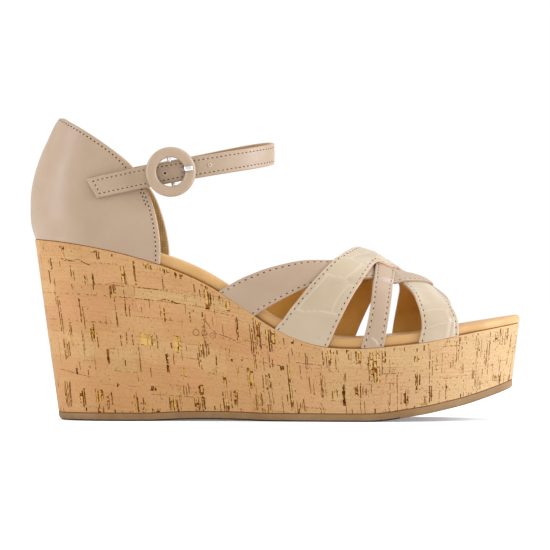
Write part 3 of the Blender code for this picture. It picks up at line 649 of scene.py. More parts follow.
def steel_finish(name):
    """Polished steel with hairlines."""
    finish, tree, shader = new_finish(name, 0.18, metallic=1.0)
    drawn = add_node(tree, "ShaderNodeMapping", Vector=object_place(tree), Scale=HAIRLINES)
    hairs = noise(tree, drawn.outputs["Vector"], 1.0, 2.0)
    tree.links.new(mixed(tree, hairs, DULL_STEEL, BRIGHT_STEEL), shader.inputs["Base Color"])
    tree.links.new(ramp(tree, hairs, 0.3, 0.7, 0.12, 0.26), shader.inputs["Roughness"])
    return finish


taupe_rubber = rubber_finish("taupe_rubber", (146, 112, 72), (132, 97, 58))
# Near-black rubber for the outsole's foot: a painted contact shadow where it stands on the floor.
contact_shadow_rubber = rubber_finish("contact_shadow_rubber", (38, 25, 14), (28, 18, 10))
buckle_steel = steel_finish("buckle_steel")
print("rubber and steel made")

# %% [markdown]
# ## The sole
# Outsole, wedge and insole share one plan: the outline of the foot, widest at the ball, round at heel
# and toe. One table gives width and seat height along the shoe, and one how far its underside springs
# up from the floor. The wedge leans in at the back and a little at the toe, so its lower ring is
# shorter than its upper one.

# %% Sole tables
WEDGE_BACK = -122.4
WEDGE_TOE = 124.6
HEEL_RAKE = 12.0
TOE_RAKE = 3.4
SIDE_DRAFT = 0.055
HEEL_ROUND = 32.0
HEEL_POWER = 2.0
TOE_ROUND = 58.0
TOE_POWER = 2.2
OUTSOLE_THICK = 3.7
SEAM = 0.3

Section = namedtuple("Section", "along centre half_width seat")
SOLE = (
    Section(-124, 0.0, 31.5, 92.2),
    Section(-105, 0.0, 32.4, 89.9),
    Section(-85, 0.0, 32.6, 86.2),
    Section(-65, -0.3, 32.0, 81.0),
    Section(-50, -1.0, 31.3, 75.9),
    Section(-35, -2.2, 31.0, 69.2),
    Section(-20, -3.2, 31.8, 60.0),
    Section(0, -4.0, 34.4, 46.6),
    Section(13, -3.9, 37.0, 40.8),
    Section(26, -3.2, 39.8, 37.6),
    Section(42, -2.0, 42.6, 36.9),
    Section(58, -0.6, 43.9, 38.1),
    Section(75, 0.8, 43.5, 40.0),
    Section(95, 2.2, 41.0, 44.0),
    Section(125, 3.6, 36.0, 49.6),
)
Spring = namedtuple("Spring", "along ground")
SOLE_SPRING = (
    Spring(-124, 0.0), Spring(-65, 0.0), Spring(-50, 0.6), Spring(-35, 0.9), Spring(-20, 0.7),
    Spring(0, 0.0), Spring(42, 0.0), Spring(50, 0.15), Spring(58, 1.0), Spring(66, 2.3),
    Spring(75, 3.75), Spring(85, 5.85), Spring(95, 8.2), Spring(110, 12.8), Spring(125, 17.9),
)
Ledge = namedtuple("Ledge", "along inset thick")
INSOLE = (
    Ledge(-125, 2.5, 5.0),
    Ledge(-55, 2.5, 5.8),
    Ledge(-48, 2.3, 6.0),
    Ledge(-20, 2.3, 6.0),
    Ledge(20, 2.3, 5.2),
    Ledge(96, 2.3, 4.3),
    Ledge(108, 0.7, 4.0),
    Ledge(125, 0.7, 3.8),
)
sole_centre = column(SOLE, "centre")
sole_half = column(SOLE, "half_width")
seat = column(SOLE, "seat")
ground = column(SOLE_SPRING, "ground")
insole_inset = column(INSOLE, "inset")
insole_thick = column(INSOLE, "thick")


def sole_round(x):
    """Share of the sole's width left by its rounded heel and toe."""
    heel = rounding(x - WEDGE_BACK, HEEL_ROUND, HEEL_POWER)
    toe = rounding(WEDGE_TOE - x, TOE_ROUND, TOE_POWER)
    return heel * toe


def drafted(x):
    """How far the wedge's foot stands inside its top."""
    return SIDE_DRAFT * (seat(x) - ground(x))


Level = namedtuple("Level", "back toe inset height")
GROUND_BACK = WEDGE_BACK + HEEL_RAKE
GROUND_TOE = WEDGE_TOE - TOE_RAKE


def level_point(level, share, side):
    """Point of a level ring at a share of the length, on the lateral (-1) or medial (1) side."""
    plan_x = WEDGE_BACK + (WEDGE_TOE - WEDGE_BACK) * share
    x = level.back + (level.toe - level.back) * share
    reach = (sole_half(plan_x) - level.inset(x)) * sole_round(plan_x)
    return Vector((x, sole_centre(plan_x) + side * reach, level.height(x)))


print("sole stations:", len(SOLE))

# %% [markdown]
# Each layer of the sole is a loop of points carried from heel to toe: up the lateral side through its
# levels, across the top, and down the medial side. Stations crowd together at the round ends, where the
# outline turns fastest, by spacing them with a cosine. The outsole's corner is rounded off most at the
# back of the heel, and the foot of its edge, where it stands on the floor, is painted almost black as a
# contact shadow.

# %% Sole layers
SOLE_STATIONS = 220
ACROSS = 14


def sole_shares():
    """Shares of the length, crowded at heel and toe."""
    return [(1.0 - math.cos(math.pi * i / SOLE_STATIONS)) / 2.0 for i in range(SOLE_STATIONS + 1)]


def sole_layer(levels, dish=None):
    """Points and faces of a layer through its levels; dish lowers the top inside its edge."""
    points = []
    for share in sole_shares():
        sides = {side: [level_point(level, share, side) for level in levels] for side in (-1, 1)}
        top = []
        for k in range(1, ACROSS):
            across = k / ACROSS
            point = sides[-1][-1].lerp(sides[1][-1], across)
            if dish:
                point.z -= dish(point.x) * smooth_step(2.0 * min(across, 1.0 - across))
            top.append(point)
        points += sides[-1] + top + sides[1][::-1]
    columns = 2 * len(levels) + ACROSS - 1
    return points, grid_faces(SOLE_STATIONS + 1, columns, wrapped=True)


Roll = namedtuple("Roll", "rise_share inset heel", defaults=[0.0])
OUTSOLE_ROLL = (Roll(0.0, 0.9, 1.6), Roll(0.06, 0.45, 1.3), Roll(0.18, 0.1, 0.9), Roll(0.3, 0.0, 0.5),
                Roll(0.6, 0.0, 0.1), Roll(0.93, 0.0), Roll(1.0, 0.2))
SEAM_FILLED = 0.8
CONTACT_SHADOW_LIFT = 1.6
outsole_levels = []
for roll in OUTSOLE_ROLL:
    outsole_levels.append(Level(
        GROUND_BACK + roll.inset + roll.heel, GROUND_TOE - roll.inset,
        lambda x, roll=roll: drafted(x) + roll.inset,
        lambda x, roll=roll: ground(x) + (OUTSOLE_THICK + SEAM * SEAM_FILLED) * roll.rise_share))
points, faces = sole_layer(outsole_levels)
columns = len(faces) // SOLE_STATIONS
# The lowest faces of the edge, where the sole stands on the floor, take the painted contact shadow.
foot_columns = (0, 1, columns - 3, columns - 2)
kinds = []
for index in range(len(faces)):
    station, place = divmod(index, columns)
    standing = ground(points[station * columns].x) < CONTACT_SHADOW_LIFT
    kinds.append(int(standing and place in foot_columns))
make_piece("rubber_outsole", points, faces, [taupe_rubber, contact_shadow_rubber], ["outsole"],
           kinds=kinds)

# %% [markdown]
# The insole is a padded board covered in tan leather that is rolled over its edge. Its top is dished a
# little, as a footbed is: deeper under the heel, almost flat at the toe, where it ends a hair past the
# wedge.

# %% Insole
INSOLE_ROLL = (Roll(0.0, 0.35), Roll(0.12, 0.05), Roll(0.35, 0.0), Roll(0.6, 0.05), Roll(0.78, 0.3),
               Roll(0.91, 0.85), Roll(0.98, 1.7), Roll(1.0, 2.8))
INSOLE_LIP = 0.3
INSOLE_STAND = 0.05
Dish = namedtuple("Dish", "along depth")
FOOTBED_DISH = (Dish(-125, 0.3), Dish(-95, 1.1), Dish(-60, 0.9),
                Dish(0, 0.7), Dish(60, 0.8), Dish(125, 0.2))

insole_levels = []
for roll in INSOLE_ROLL:
    insole_levels.append(Level(
        WEDGE_BACK + INSOLE[0].inset + roll.inset, WEDGE_TOE + INSOLE_LIP - roll.inset,
        lambda x, roll=roll: insole_inset(x) + roll.inset,
        lambda x, roll=roll: seat(x) + INSOLE_STAND + (insole_thick(x) + SEAM) * roll.rise_share))
points, faces = sole_layer(insole_levels, column(FOOTBED_DISH, "depth"))
make_piece("tan_insole", points, faces, [footbed_leather], ["insole"])

# %% [markdown]
# ### The cork wedge
# The wall of the wedge is ruled: straight from its lower ring to its upper ring. Wrap coordinates run from
# the middle of the heel, positive round the lateral side and negative round the medial one, and upwards in
# bands that lean a little with the seat, as the veneer was laid. A thin brown line along its top edge and
# its foot is painted shade in the seams, under the insole and straps and above the outsole.

# %% Wedge
WALL_LEVELS = 22
TOP_ROLL = 0.7
ROLL_IN = 0.3
ROLL_UP = 0.45
FOOT_LINE = 0.3
CORE_BACK = -85.0
CORE_TOE = 75.0
BAND_LEAN = 0.35
BAND_SEAT = 60.0
wedge_foot = Level(GROUND_BACK, GROUND_TOE, drafted, lambda x: ground(x) + OUTSOLE_THICK + SEAM)
wedge_top = Level(WEDGE_BACK, WEDGE_TOE, lambda x: 0.0, seat)


def wall_point(share, side, rise):
    """Point of the wedge's wall."""
    return level_point(wedge_foot, share, side).lerp(level_point(wedge_top, share, side), rise)


def round_lengths(side):
    """Distance round the wall at half its height, at each station."""
    lengths = [0.0]
    ring = [wall_point(share, side, 0.5) for share in sole_shares()]
    for a, b in zip(ring, ring[1:]):
        lengths.append(lengths[-1] + (b - a).length)
    return lengths


WALL_LENGTHS = {side: round_lengths(side) for side in (-1, 1)}


def wall_wrap(point, side, length):
    """Wrap coordinates of a point of the wall."""
    return (-side * length, point.z - BAND_LEAN * (seat(point.x) - BAND_SEAT))


points = []
wrap = []
for station, share in enumerate(sole_shares()):
    core_x = min(max(wall_point(share, 1, 1.0).x, CORE_BACK), CORE_TOE)
    middle = Vector((core_x, sole_centre(0.0), 0.0))
    loops = {}
    for side in (-1, 1):
        wall = [wall_point(share, side, level / WALL_LEVELS) for level in range(WALL_LEVELS + 1)]
        inward = middle - wall[-1]
        inward.z = 0.0
        inward.normalize()
        wall.insert(1, wall[0] + (wall[1] - wall[0]).normalized() * FOOT_LINE)
        wall[-1].z -= TOP_ROLL
        wall.append(wall[-1] + inward * TOP_ROLL * ROLL_IN + Vector((0.0, 0.0, TOP_ROLL * ROLL_UP)))
        wall.append(wall[-2] + inward * TOP_ROLL + Vector((0.0, 0.0, TOP_ROLL)))
        loops[side] = [(point, wall_wrap(point, side, WALL_LENGTHS[side][station])) for point in wall]
    row = loops[-1] + loops[1][::-1]
    points += [point for point, place in row]
    wrap += [place for point, place in row]
side_columns = WALL_LEVELS + 4
columns = 2 * side_columns
# The upper half of the top roll and the thin band at the foot take the brown finish: painted shade in the
# seams.
seam_shade_columns = (0, side_columns - 2, side_columns, columns - 2)
faces = grid_faces(SOLE_STATIONS + 1, columns, wrapped=True)
kinds = [int(index % columns in seam_shade_columns) for index in range(len(faces))]
make_piece("cork_wedge", points, faces, [bark_cork, brown_pore_and_seam_shade], ["wedge"], kinds=kinds, wrap=wrap)

# %% [markdown]
# ### Blocks and pores of the cork
# The strongest marks of the veneer are worth placing one by one: the blocks that are pinker or more olive
# than their neighbours, and the clusters of upright pores, some dark, some golden. Each is a thin flake
# that hugs the wall. The tables give their places on the lateral side in millimetres; the sides that the
# photograph hides get clusters of the same kind from a seeded random.

# %% Places on the wall
FLAKE_LIFT = 0.04
HALVINGS = 24
OUT_STEP = 0.5
OUT_HEIGHT = 30.0
OUT_RISE = 1.0
FOOT_MARGIN = 0.3
TOP_MARGIN = 0.9
SIDE_SHARES = sole_shares()


def share_at_length(side, length):
    """Share of the sole's length at a distance round the wall."""
    lengths = WALL_LENGTHS[side]
    i = min(max(bisect_right(lengths, length) - 1, 0), len(lengths) - 2)
    part = (length - lengths[i]) / (lengths[i + 1] - lengths[i])
    return SIDE_SHARES[i] + (SIDE_SHARES[i + 1] - SIDE_SHARES[i]) * min(max(part, 0.0), 1.0)


def wall_side(around):
    """Lateral side (-1) for distances from zero up, medial side (1) for the others."""
    return -1 if around >= 0.0 else 1


def wall_ends(around):
    """Lowest and highest point of the wall at a distance round it."""
    side = wall_side(around)
    share = share_at_length(side, abs(around))
    return level_point(wedge_foot, share, side), level_point(wedge_top, share, side)


def wall_place(around, height):
    """Point on the wall at a distance round it and a height."""
    low, high = wall_ends(around)
    return low.lerp(high, min(max((height - low.z) / (high.z - low.z), 0.0), 1.0))


def around_at(along, height):
    """Distance round the lateral wall at a place seen from the side."""
    low = 0.0
    high = WALL_LENGTHS[-1][-1]
    for _ in range(HALVINGS):
        half = (low + high) / 2.0
        if wall_place(half, height).x < along:
            low = half
        else:
            high = half
    return low


@lru_cache(maxsize=None)
def wall_out(half_millimetres):
    """Outward direction of the wall at a distance round it, in half millimetres."""
    around = half_millimetres / 2.0
    ahead = wall_place(around + OUT_STEP, OUT_HEIGHT) - wall_place(around - OUT_STEP, OUT_HEIGHT)
    up = wall_place(around, OUT_HEIGHT + OUT_RISE) - wall_place(around, OUT_HEIGHT - OUT_RISE)
    return ahead.cross(up).normalized()


def lifted_place(around, height, lift):
    """Point just outside the wall, with its wrap coordinates."""
    point = wall_place(around, height)
    out = wall_out(round(2.0 * around))
    return point + out * lift, wall_wrap(point, wall_side(around), abs(around))


def wall_limits(around):
    """Lowest and highest place of the cork at a distance round the wall."""
    low, high = wall_ends(around)
    return low.z + FOOT_MARGIN, high.z - TOP_MARGIN


print("wall lengths in millimetres:", {side: round(lengths[-1]) for side, lengths in WALL_LENGTHS.items()})

# %% [markdown]
# A block is a patch between two places along and two bands; its edges wander a little. Its finish is
# the same cork in another tint, and its grain runs on because it shares the wrap coordinates.

# %% Cork blocks
Block = namedtuple("Block", "rear front band_low band_high tint")
BLOCKS = (
    Block(-105.5, -98.2, 70.5, 79.5, "olive"),
    Block(-79.0, -24.0, 54.2, 59.6, "olive"),
    Block(-115.0, -82.5, 40.5, 54.0, "pink"),
    Block(-35.8, -19.0, 40.5, 53.0, "pink"),
    Block(-90.0, -77.0, 59.8, 70.5, "pink"),
    Block(-69.0, -55.0, 59.8, 67.6, "pink"),
    Block(-79.0, -45.0, 45.0, 54.0, "pink"),
    Block(-92.5, -90.2, 33.4, 37.6, "gold"),
    Block(-66.7, -61.8, 31.0, 36.4, "gold"),
    Block(-50.2, -47.4, 29.2, 37.2, "gold"),
    Block(-81.5, -69.0, 16.5, 27.5, "olive"),
    Block(-97.0, -89.5, 20.5, 30.5, "olive"),
    Block(-53.0, -36.0, 12.0, 27.0, "pink"),
    Block(-17.0, 3.0, 33.0, 42.0, "pink"),
    Block(-47.5, -44.0, 17.5, 21.5, "gold"),
    Block(26.0, 37.0, 18.5, 27.5, "olive"),
    Block(52.0, 65.0, 13.0, 32.0, "pink"),
    Block(11.0, 23.0, 14.0, 36.0, "pink"),
    Block(84.0, 93.0, 28.0, 44.0, "pink"),
)
CORK_TINTS = {"pink": pink_cork, "olive": olive_cork, "gold": gold_cork}
BLOCK_CELL = 1.2
BLOCK_ROWS = 6
EDGE_WANDER = 0.35
MID_HEIGHT = 40.0

cork_random = random.Random(38)


def band_height(around, band):
    """Height of a leaning band at a distance round the wall."""
    x = wall_place(around, MID_HEIGHT).x
    low, high = wall_limits(around)
    return min(max(band + BAND_LEAN * (seat(x) - BAND_SEAT), low), high)


def cork_block(block, start):
    """Points, wrap and faces of one block of veneer."""
    middle = (block.band_low + block.band_high) / 2.0
    rear = around_at(block.rear, middle)
    front = around_at(block.front, middle)
    cells = max(3, round((front - rear) / BLOCK_CELL))
    rows = []
    for i in range(cells + 1):
        around = rear + (front - rear) * i / cells
        low = block.band_low + cork_random.uniform(-EDGE_WANDER, EDGE_WANDER)
        high = block.band_high + cork_random.uniform(-EDGE_WANDER, EDGE_WANDER)
        row = []
        for k in range(BLOCK_ROWS + 1):
            band = low + (high - low) * k / BLOCK_ROWS
            wander = cork_random.uniform(-EDGE_WANDER, EDGE_WANDER) if i in (0, cells) else 0.0
            row.append(lifted_place(around + wander, band_height(around, band), FLAKE_LIFT / 2.0))
        rows.append(row)
    flat = [spot for row in rows for spot in row]
    return [p for p, w in flat], [w for p, w in flat], grid_faces(cells + 1, BLOCK_ROWS + 1, start)


points = []
wrap = []
faces = []
kinds = []
tints = list(CORK_TINTS)
for block in BLOCKS:
    new_points, new_wrap, new_faces = cork_block(block, len(points))
    points += new_points
    wrap += new_wrap
    faces += new_faces
    kinds += [tints.index(block.tint)] * len(new_faces)
make_piece("cork_blocks", points, faces, list(CORK_TINTS.values()),
           kinds=kinds, wrap=wrap, closed=False)

# %% [markdown]
# A pore is a thin ragged streak that climbs the wall: dark, or golden with thin dark borders. Clusters put
# several side by side. Each row of the table is one cluster: where it stands, how high its top is, how
# tall it is, how many pores it has and over what width, the share of golden ones, and how heavy they are.

# %% Cork clusters
Cluster = namedtuple("Cluster", "along top tall count spread gold heavy")
CLUSTERS = tuple(Cluster(*row) for row in (
    (-113.4, 82.4, 7.0, 3, 3.0, 0.2, 0.8), (-102.9, 80.3, 7.5, 1, 0.0, 0.0, 0.9),
    (-91.7, 78.6, 11.0, 1, 0.0, 0.0, 1.5), (-95.5, 74.0, 9.0, 1, 0.0, 0.0, 0.7),
    (-97.8, 62.5, 13.0, 1, 0.0, 0.0, 0.9), (-81.6, 69.0, 7.5, 4, 4.0, 0.4, 0.8),
    (-76.0, 79.5, 11.0, 2, 1.4, 0.5, 1.1), (-70.5, 82.0, 14.0, 1, 0.0, 0.0, 1.4),
    (-63.8, 79.8, 4.5, 3, 3.0, 0.5, 1.1), (-49.0, 76.5, 3.0, 3, 5.0, 0.6, 1.1),
    (-33.5, 67.0, 11.0, 3, 3.0, 0.6, 1.2), (-24.2, 61.0, 6.0, 2, 2.0, 0.6, 1.2),
    (-79.6, 60.3, 13.0, 1, 0.0, 0.0, 1.0), (-73.0, 59.4, 8.0, 1, 0.0, 0.0, 0.6),
    (-67.5, 59.4, 5.0, 1, 0.0, 0.0, 0.6), (-55.8, 58.2, 9.5, 1, 0.0, 0.0, 1.2),
    (-43.0, 56.5, 7.0, 1, 0.0, 0.0, 0.9), (-36.3, 55.3, 11.5, 2, 0.8, 0.5, 0.7),
    (-19.2, 52.8, 14.0, 2, 1.5, 0.3, 0.9), (-91.0, 46.9, 7.0, 3, 3.5, 0.5, 1.1),
    (-83.7, 39.4, 13.0, 1, 0.0, 0.0, 1.5), (-74.5, 45.0, 8.0, 3, 9.0, 0.0, 0.8),
    (-61.5, 43.6, 7.5, 4, 6.0, 0.4, 0.8), (-48.7, 42.8, 8.0, 2, 2.0, 0.6, 0.8),
    (-35.8, 42.0, 10.0, 5, 6.0, 0.15, 0.8), (-25.4, 25.3, 6.5, 2, 1.2, 0.5, 0.9),
    (-54.2, 34.4, 10.0, 2, 1.2, 0.5, 0.9), (-67.9, 32.8, 9.0, 1, 0.0, 0.0, 0.6),
    (-104.6, 21.0, 14.5, 5, 6.0, 0.2, 0.9), (-96.7, 17.3, 12.5, 3, 3.0, 0.2, 1.4),
    (-87.5, 16.0, 7.0, 2, 3.5, 0.5, 1.0), (-82.0, 15.3, 7.5, 1, 0.0, 0.0, 0.9),
    (-68.7, 13.6, 9.0, 3, 7.5, 0.2, 0.9), (-51.0, 12.3, 7.5, 5, 5.0, 0.6, 0.9),
    (-37.7, 12.8, 7.8, 6, 5.5, 0.5, 0.9), (-44.8, 20.0, 7.0, 3, 4.5, 0.0, 0.7),
    (-22.8, 15.5, 9.0, 4, 9.0, 0.5, 0.9), (-104.9, 42.4, 12.0, 4, 5.0, 0.2, 0.9),
    (-108.3, 63.5, 20.0, 2, 3.0, 0.2, 0.8), (-10.0, 52.0, 20.0, 5, 7.0, 0.4, 0.9),
    (-2.5, 47.0, 12.0, 4, 4.0, 0.4, 1.2), (3.0, 28.5, 3.5, 3, 3.0, 0.1, 1.2),
    (7.5, 32.0, 27.0, 2, 1.6, 0.6, 0.9), (-12.5, 28.0, 12.0, 3, 2.5, 0.5, 0.9),
    (-4.2, 26.0, 11.0, 3, 6.0, 0.3, 0.7), (17.5, 23.0, 12.0, 1, 0.0, 0.0, 0.7),
    (25.5, 36.0, 9.0, 3, 5.0, 0.3, 0.8), (23.3, 27.0, 17.0, 2, 0.9, 0.5, 0.8),
    (34.3, 20.5, 13.0, 2, 0.9, 0.0, 1.5), (41.3, 35.5, 7.0, 3, 3.0, 0.7, 1.0),
    (36.5, 35.0, 4.0, 1, 0.0, 0.0, 0.9), (49.0, 36.5, 17.0, 5, 5.0, 0.4, 0.9),
    (54.7, 37.0, 7.5, 2, 1.5, 0.1, 0.8), (61.0, 25.3, 7.0, 1, 0.0, 0.0, 0.7),
    (71.3, 24.5, 6.5, 3, 3.5, 0.4, 0.8), (70.5, 33.5, 5.0, 2, 1.5, 0.8, 1.2),
    (79.2, 38.8, 13.0, 2, 7.0, 0.3, 0.55), (94.0, 30.5, 7.0, 2, 2.5, 0.2, 0.6),
    (102.5, 23.0, 8.0, 2, 4.0, 0.6, 0.7), (107.0, 45.5, 25.0, 2, 3.4, 0.0, 0.5),
    (114.5, 47.0, 9.0, 6, 11.0, 0.5, 0.6), (119.5, 44.0, 8.0, 2, 2.0, 0.2, 0.5),
    (112.0, 24.0, 5.0, 5, 8.0, 0.4, 0.6), (65.5, 17.5, 10.0, 3, 2.0, 0.6, 0.8),
    (77.8, 19.0, 9.0, 2, 3.0, 0.1, 0.8), (43.0, 19.0, 6.0, 4, 7.0, 0.5, 0.8),
    (92.5, 43.0, 4.0, 1, 0.0, 0.0, 0.9), (-111.5, 73.6, 6.5, 1, 0.0, 0.0, 0.7),
    (-103.0, 52.0, 10.0, 2, 1.4, 0.1, 0.8), (-44.5, 39.1, 4.5, 1, 0.0, 0.0, 0.6),
    (-37.3, 32.0, 6.0, 1, 0.0, 0.5, 0.7), (-21.5, 31.6, 1.6, 1, 0.0, 0.0, 1.8),
    (-16.5, 31.4, 1.5, 1, 0.0, 0.0, 1.8), (-61.2, 18.2, 3.0, 3, 3.0, 0.0, 1.2),
    (-37.2, 19.1, 6.0, 2, 1.0, 1.0, 1.1), (-25.0, 9.3, 4.8, 4, 6.0, 0.1, 0.8),
    (-19.5, 16.0, 8.0, 3, 2.4, 0.0, 0.8), (-8.0, 14.5, 9.0, 3, 4.0, 0.3, 0.9),
    (-3.0, 10.0, 5.0, 2, 1.6, 0.0, 0.9), (15.7, 36.0, 10.0, 2, 1.2, 0.4, 0.8),
    (86.0, 19.9, 3.0, 2, 1.0, 0.9, 1.0), (105.8, 36.5, 9.0, 2, 1.2, 0.1, 0.5),
    (99.4, 26.3, 5.0, 2, 1.5, 0.1, 0.6), (119.5, 30.0, 9.0, 1, 0.0, 0.0, 0.5),
    (-78.8, 19.4, 3.0, 2, 1.6, 0.2, 0.9), (14.0, 12.0, 7.0, 2, 3.0, 0.2, 0.8),
    (29.5, 17.5, 6.0, 2, 3.0, 0.4, 0.8), (-30.5, 28.0, 5.0, 2, 2.5, 0.3, 0.7),
    (88.5, 33.0, 6.0, 2, 2.0, 0.2, 0.5), (-107.2, 89.4, 7.5, 1, 0.0, 0.3, 0.7),
    (-89.1, 86.2, 4.8, 2, 1.0, 0.4, 0.9), (-56.4, 73.6, 7.6, 1, 0.0, 0.2, 0.7),
    (-57.0, 77.6, 3.0, 3, 4.0, 0.7, 0.9), (-110.0, 20.0, 5.0, 1, 0.0, 0.0, 1.1),
    (-84.0, 13.9, 10.0, 1, 0.0, 0.2, 0.8), (-66.0, 11.6, 7.5, 1, 0.0, 1.0, 0.9),
))
print("clusters placed by hand:", len(CLUSTERS))

# %% [markdown]
# A streak is a ribbon of small faces, some of them left out, and its finish changes here and there. Pores
# are upright streaks that drift a little on their way. Worm lines are streaks through given places.

# %% Pore makers
PORE_WIDTH = 0.64
PORE_SWELL = (0.8, 1.2)
PORE_STEP = (0.45, 1.1)
PORE_DRIFT = 0.1
DRIFT_KEPT = 0.8
GOLD_WIDE = 1.7
BORDER_WIDE = 0.6
BESIDE_WIDE = 0.9
BESIDE_CHANCE = 0.4
DARK_BROKEN = 0.08
GOLD_BROKEN = 0.1
BORDER_BROKEN = 0.35
STREAK_SWELL = (0.6, 1.25)
TURN_CHANCE = 0.5
WORM_STEP = 0.7
WORM_WANDER = 0.12
STREAK_KINDS = (dark_pore, brown_pore_and_seam_shade, gold_cork)
DARK_MIX = (0.5, 0.48, 0.02)
GOLD_MIX = (0.04, 0.14, 0.82)
FLECK_MIX = (0.25, 0.5, 0.25)
JOINT_MIX = (0.35, 0.65, 0.0)
points = []
wrap = []
faces = []
kinds = []


def streak_kind(mix):
    """Number of a finish drawn from a mix."""
    return cork_random.choices(range(len(STREAK_KINDS)), mix)[0]


def cork_streak(line, width, mix, broken):
    """Add a ragged ribbon along (distance round, height) places of the wall."""
    kind = streak_kind(mix)
    start = len(points)
    for i, (around, height) in enumerate(line):
        before = line[max(i - 1, 0)]
        after = line[min(i + 1, len(line) - 1)]
        run = Vector((after[0] - before[0], after[1] - before[1])).normalized()
        half = width * 0.5 * cork_random.uniform(*STREAK_SWELL)
        low, high = wall_limits(around)
        for side in (-half, half):
            kept_height = min(max(height - run.x * side, low), high)
            spot = lifted_place(around + run.y * side, kept_height, FLAKE_LIFT)
            points.append(spot[0])
            wrap.append(spot[1])
    for i in range(len(line) - 1):
        if cork_random.random() < TURN_CHANCE:
            kind = streak_kind(mix)
        if cork_random.random() > broken:
            first = start + 2 * i
            faces.append((first, first + 1, first + 3, first + 2))
            kinds.append(kind)


def pore_line(around, top, tall):
    """Places of one pore, drifting a little on its way up."""
    low, high = wall_limits(around)
    top = min(top, high)
    place = max(top - tall, low)
    line = []
    drift = 0.0
    while place < top:
        line.append((around + drift, place))
        drift = DRIFT_KEPT * drift + cork_random.uniform(-PORE_DRIFT, PORE_DRIFT)
        place += cork_random.uniform(*PORE_STEP)
    return line


def beside(line, shift):
    """The same line moved round the wall."""
    return [(around + shift, height) for around, height in line]


def cork_pore(around, top, tall, heavy, golden):
    """One upright pore: a dark streak, or a golden one between dark borders."""
    line = pore_line(around, top, tall)
    width = PORE_WIDTH * heavy * cork_random.uniform(*PORE_SWELL)
    if len(line) < 2:
        return
    if golden:
        cork_streak(line, GOLD_WIDE * width, GOLD_MIX, GOLD_BROKEN)
        for side in (-1.0, 1.0):
            cork_streak(beside(line, side * width), BORDER_WIDE * width, DARK_MIX, BORDER_BROKEN)
        return
    cork_streak(line, width, DARK_MIX, DARK_BROKEN)
    if cork_random.random() < BESIDE_CHANCE:
        shift = cork_random.choice((-1.0, 1.0)) * width
        cork_streak(beside(line, shift), BESIDE_WIDE * width, GOLD_MIX, BORDER_BROKEN)


def worm_line(line, width, broken=0.1):
    """Thin dark line through places of the wall, cut into short steps."""
    steps = []
    for (a, low), (b, high) in zip(line, line[1:]):
        count = max(1, round(math.dist((a, low), (b, high)) / WORM_STEP))
        for i in range(count):
            share = i / count
            height = low + (high - low) * share + cork_random.uniform(-WORM_WANDER, WORM_WANDER)
            steps.append((a + (b - a) * share, height))
    cork_streak(steps + [line[-1]], width, JOINT_MIX, broken)


print("streak finishes:", [finish.name for finish in STREAK_KINDS])

# %% [markdown]
# Now the marks are laid, and all are joined in one mesh. The clusters come first: those of the table, and
# random ones of the same kind on the hidden side.

# %% Cluster pores
HIDDEN_CLUSTERS = 90
PORE_SHIFT = 0.3


def hidden_clusters():
    """Random clusters for the medial side."""
    hidden = []
    for _ in range(HIDDEN_CLUSTERS):
        around = -cork_random.uniform(0.0, WALL_LENGTHS[1][-1])
        low, high = wall_limits(around)
        group = Cluster(
            along=0.0,
            top=cork_random.uniform(low + 5.0, high),
            tall=cork_random.uniform(4.0, 14.0),
            count=cork_random.randint(1, 5),
            spread=cork_random.uniform(1.0, 7.0),
            gold=cork_random.choice((0.0, 0.2, 0.5)),
            heavy=cork_random.uniform(0.7, 1.3))
        hidden.append((around, group))
    return hidden


groups = [(around_at(group.along, group.top - group.tall / 2.0), group) for group in CLUSTERS]
for around, group in groups + hidden_clusters():
    for i in range(group.count):
        offset = group.spread * ((i + 0.5) / group.count - 0.5)
        offset += cork_random.uniform(-PORE_SHIFT, PORE_SHIFT)
        tall = group.tall * cork_random.uniform(0.6, 1.0)
        top = group.top - (group.tall - tall) * cork_random.random()
        cork_pore(around + offset, top, tall, group.heavy, cork_random.random() < group.gold)
print("faces of the clusters:", len(faces))

# %% [markdown]
# Scratches, curls and the broken joints round the blocks are all worm lines.

# %% Scratches and joints
LINE_WIDTH = 0.3
JOINT_STEP = 3.0
JOINT_BROKEN = 0.55
CURL_STEPS = 14
Scratch = namedtuple("Scratch", "places width")
SCRATCHES = (
    Scratch(((-35.0, 50.6), (-32.5, 46.8), (-29.5, 44.1), (-21.5, 41.6)), 0.28),
    Scratch(((-57.5, 60.9), (-55.5, 61.3), (-53.0, 60.6), (-51.5, 60.2), (-49.0, 59.1)), 0.55),
    Scratch(((-70.5, 67.6), (-64.0, 66.6), (-58.5, 66.1)), 0.35),
    Scratch(((-108.5, 26.1), (-100.0, 23.9), (-92.5, 22.1)), 0.25),
    Scratch(((-62.5, 13.6), (-48.0, 12.6), (-34.5, 11.6)), 0.22),
    Scratch(((-108.0, 81.9), (-101.5, 80.6), (-99.4, 81.6), (-96.5, 79.9), (-92.8, 78.3)), 0.4),
    Scratch(((-119.0, 91.3), (-116.0, 91.0), (-113.0, 90.6)), 0.5),
)
Curl = namedtuple("Curl", "along height radius")
CURLS = (Curl(-39.7, 44.6, 1.6), Curl(-35.5, 44.3, 1.4), Curl(-31.3, 43.1, 1.4))

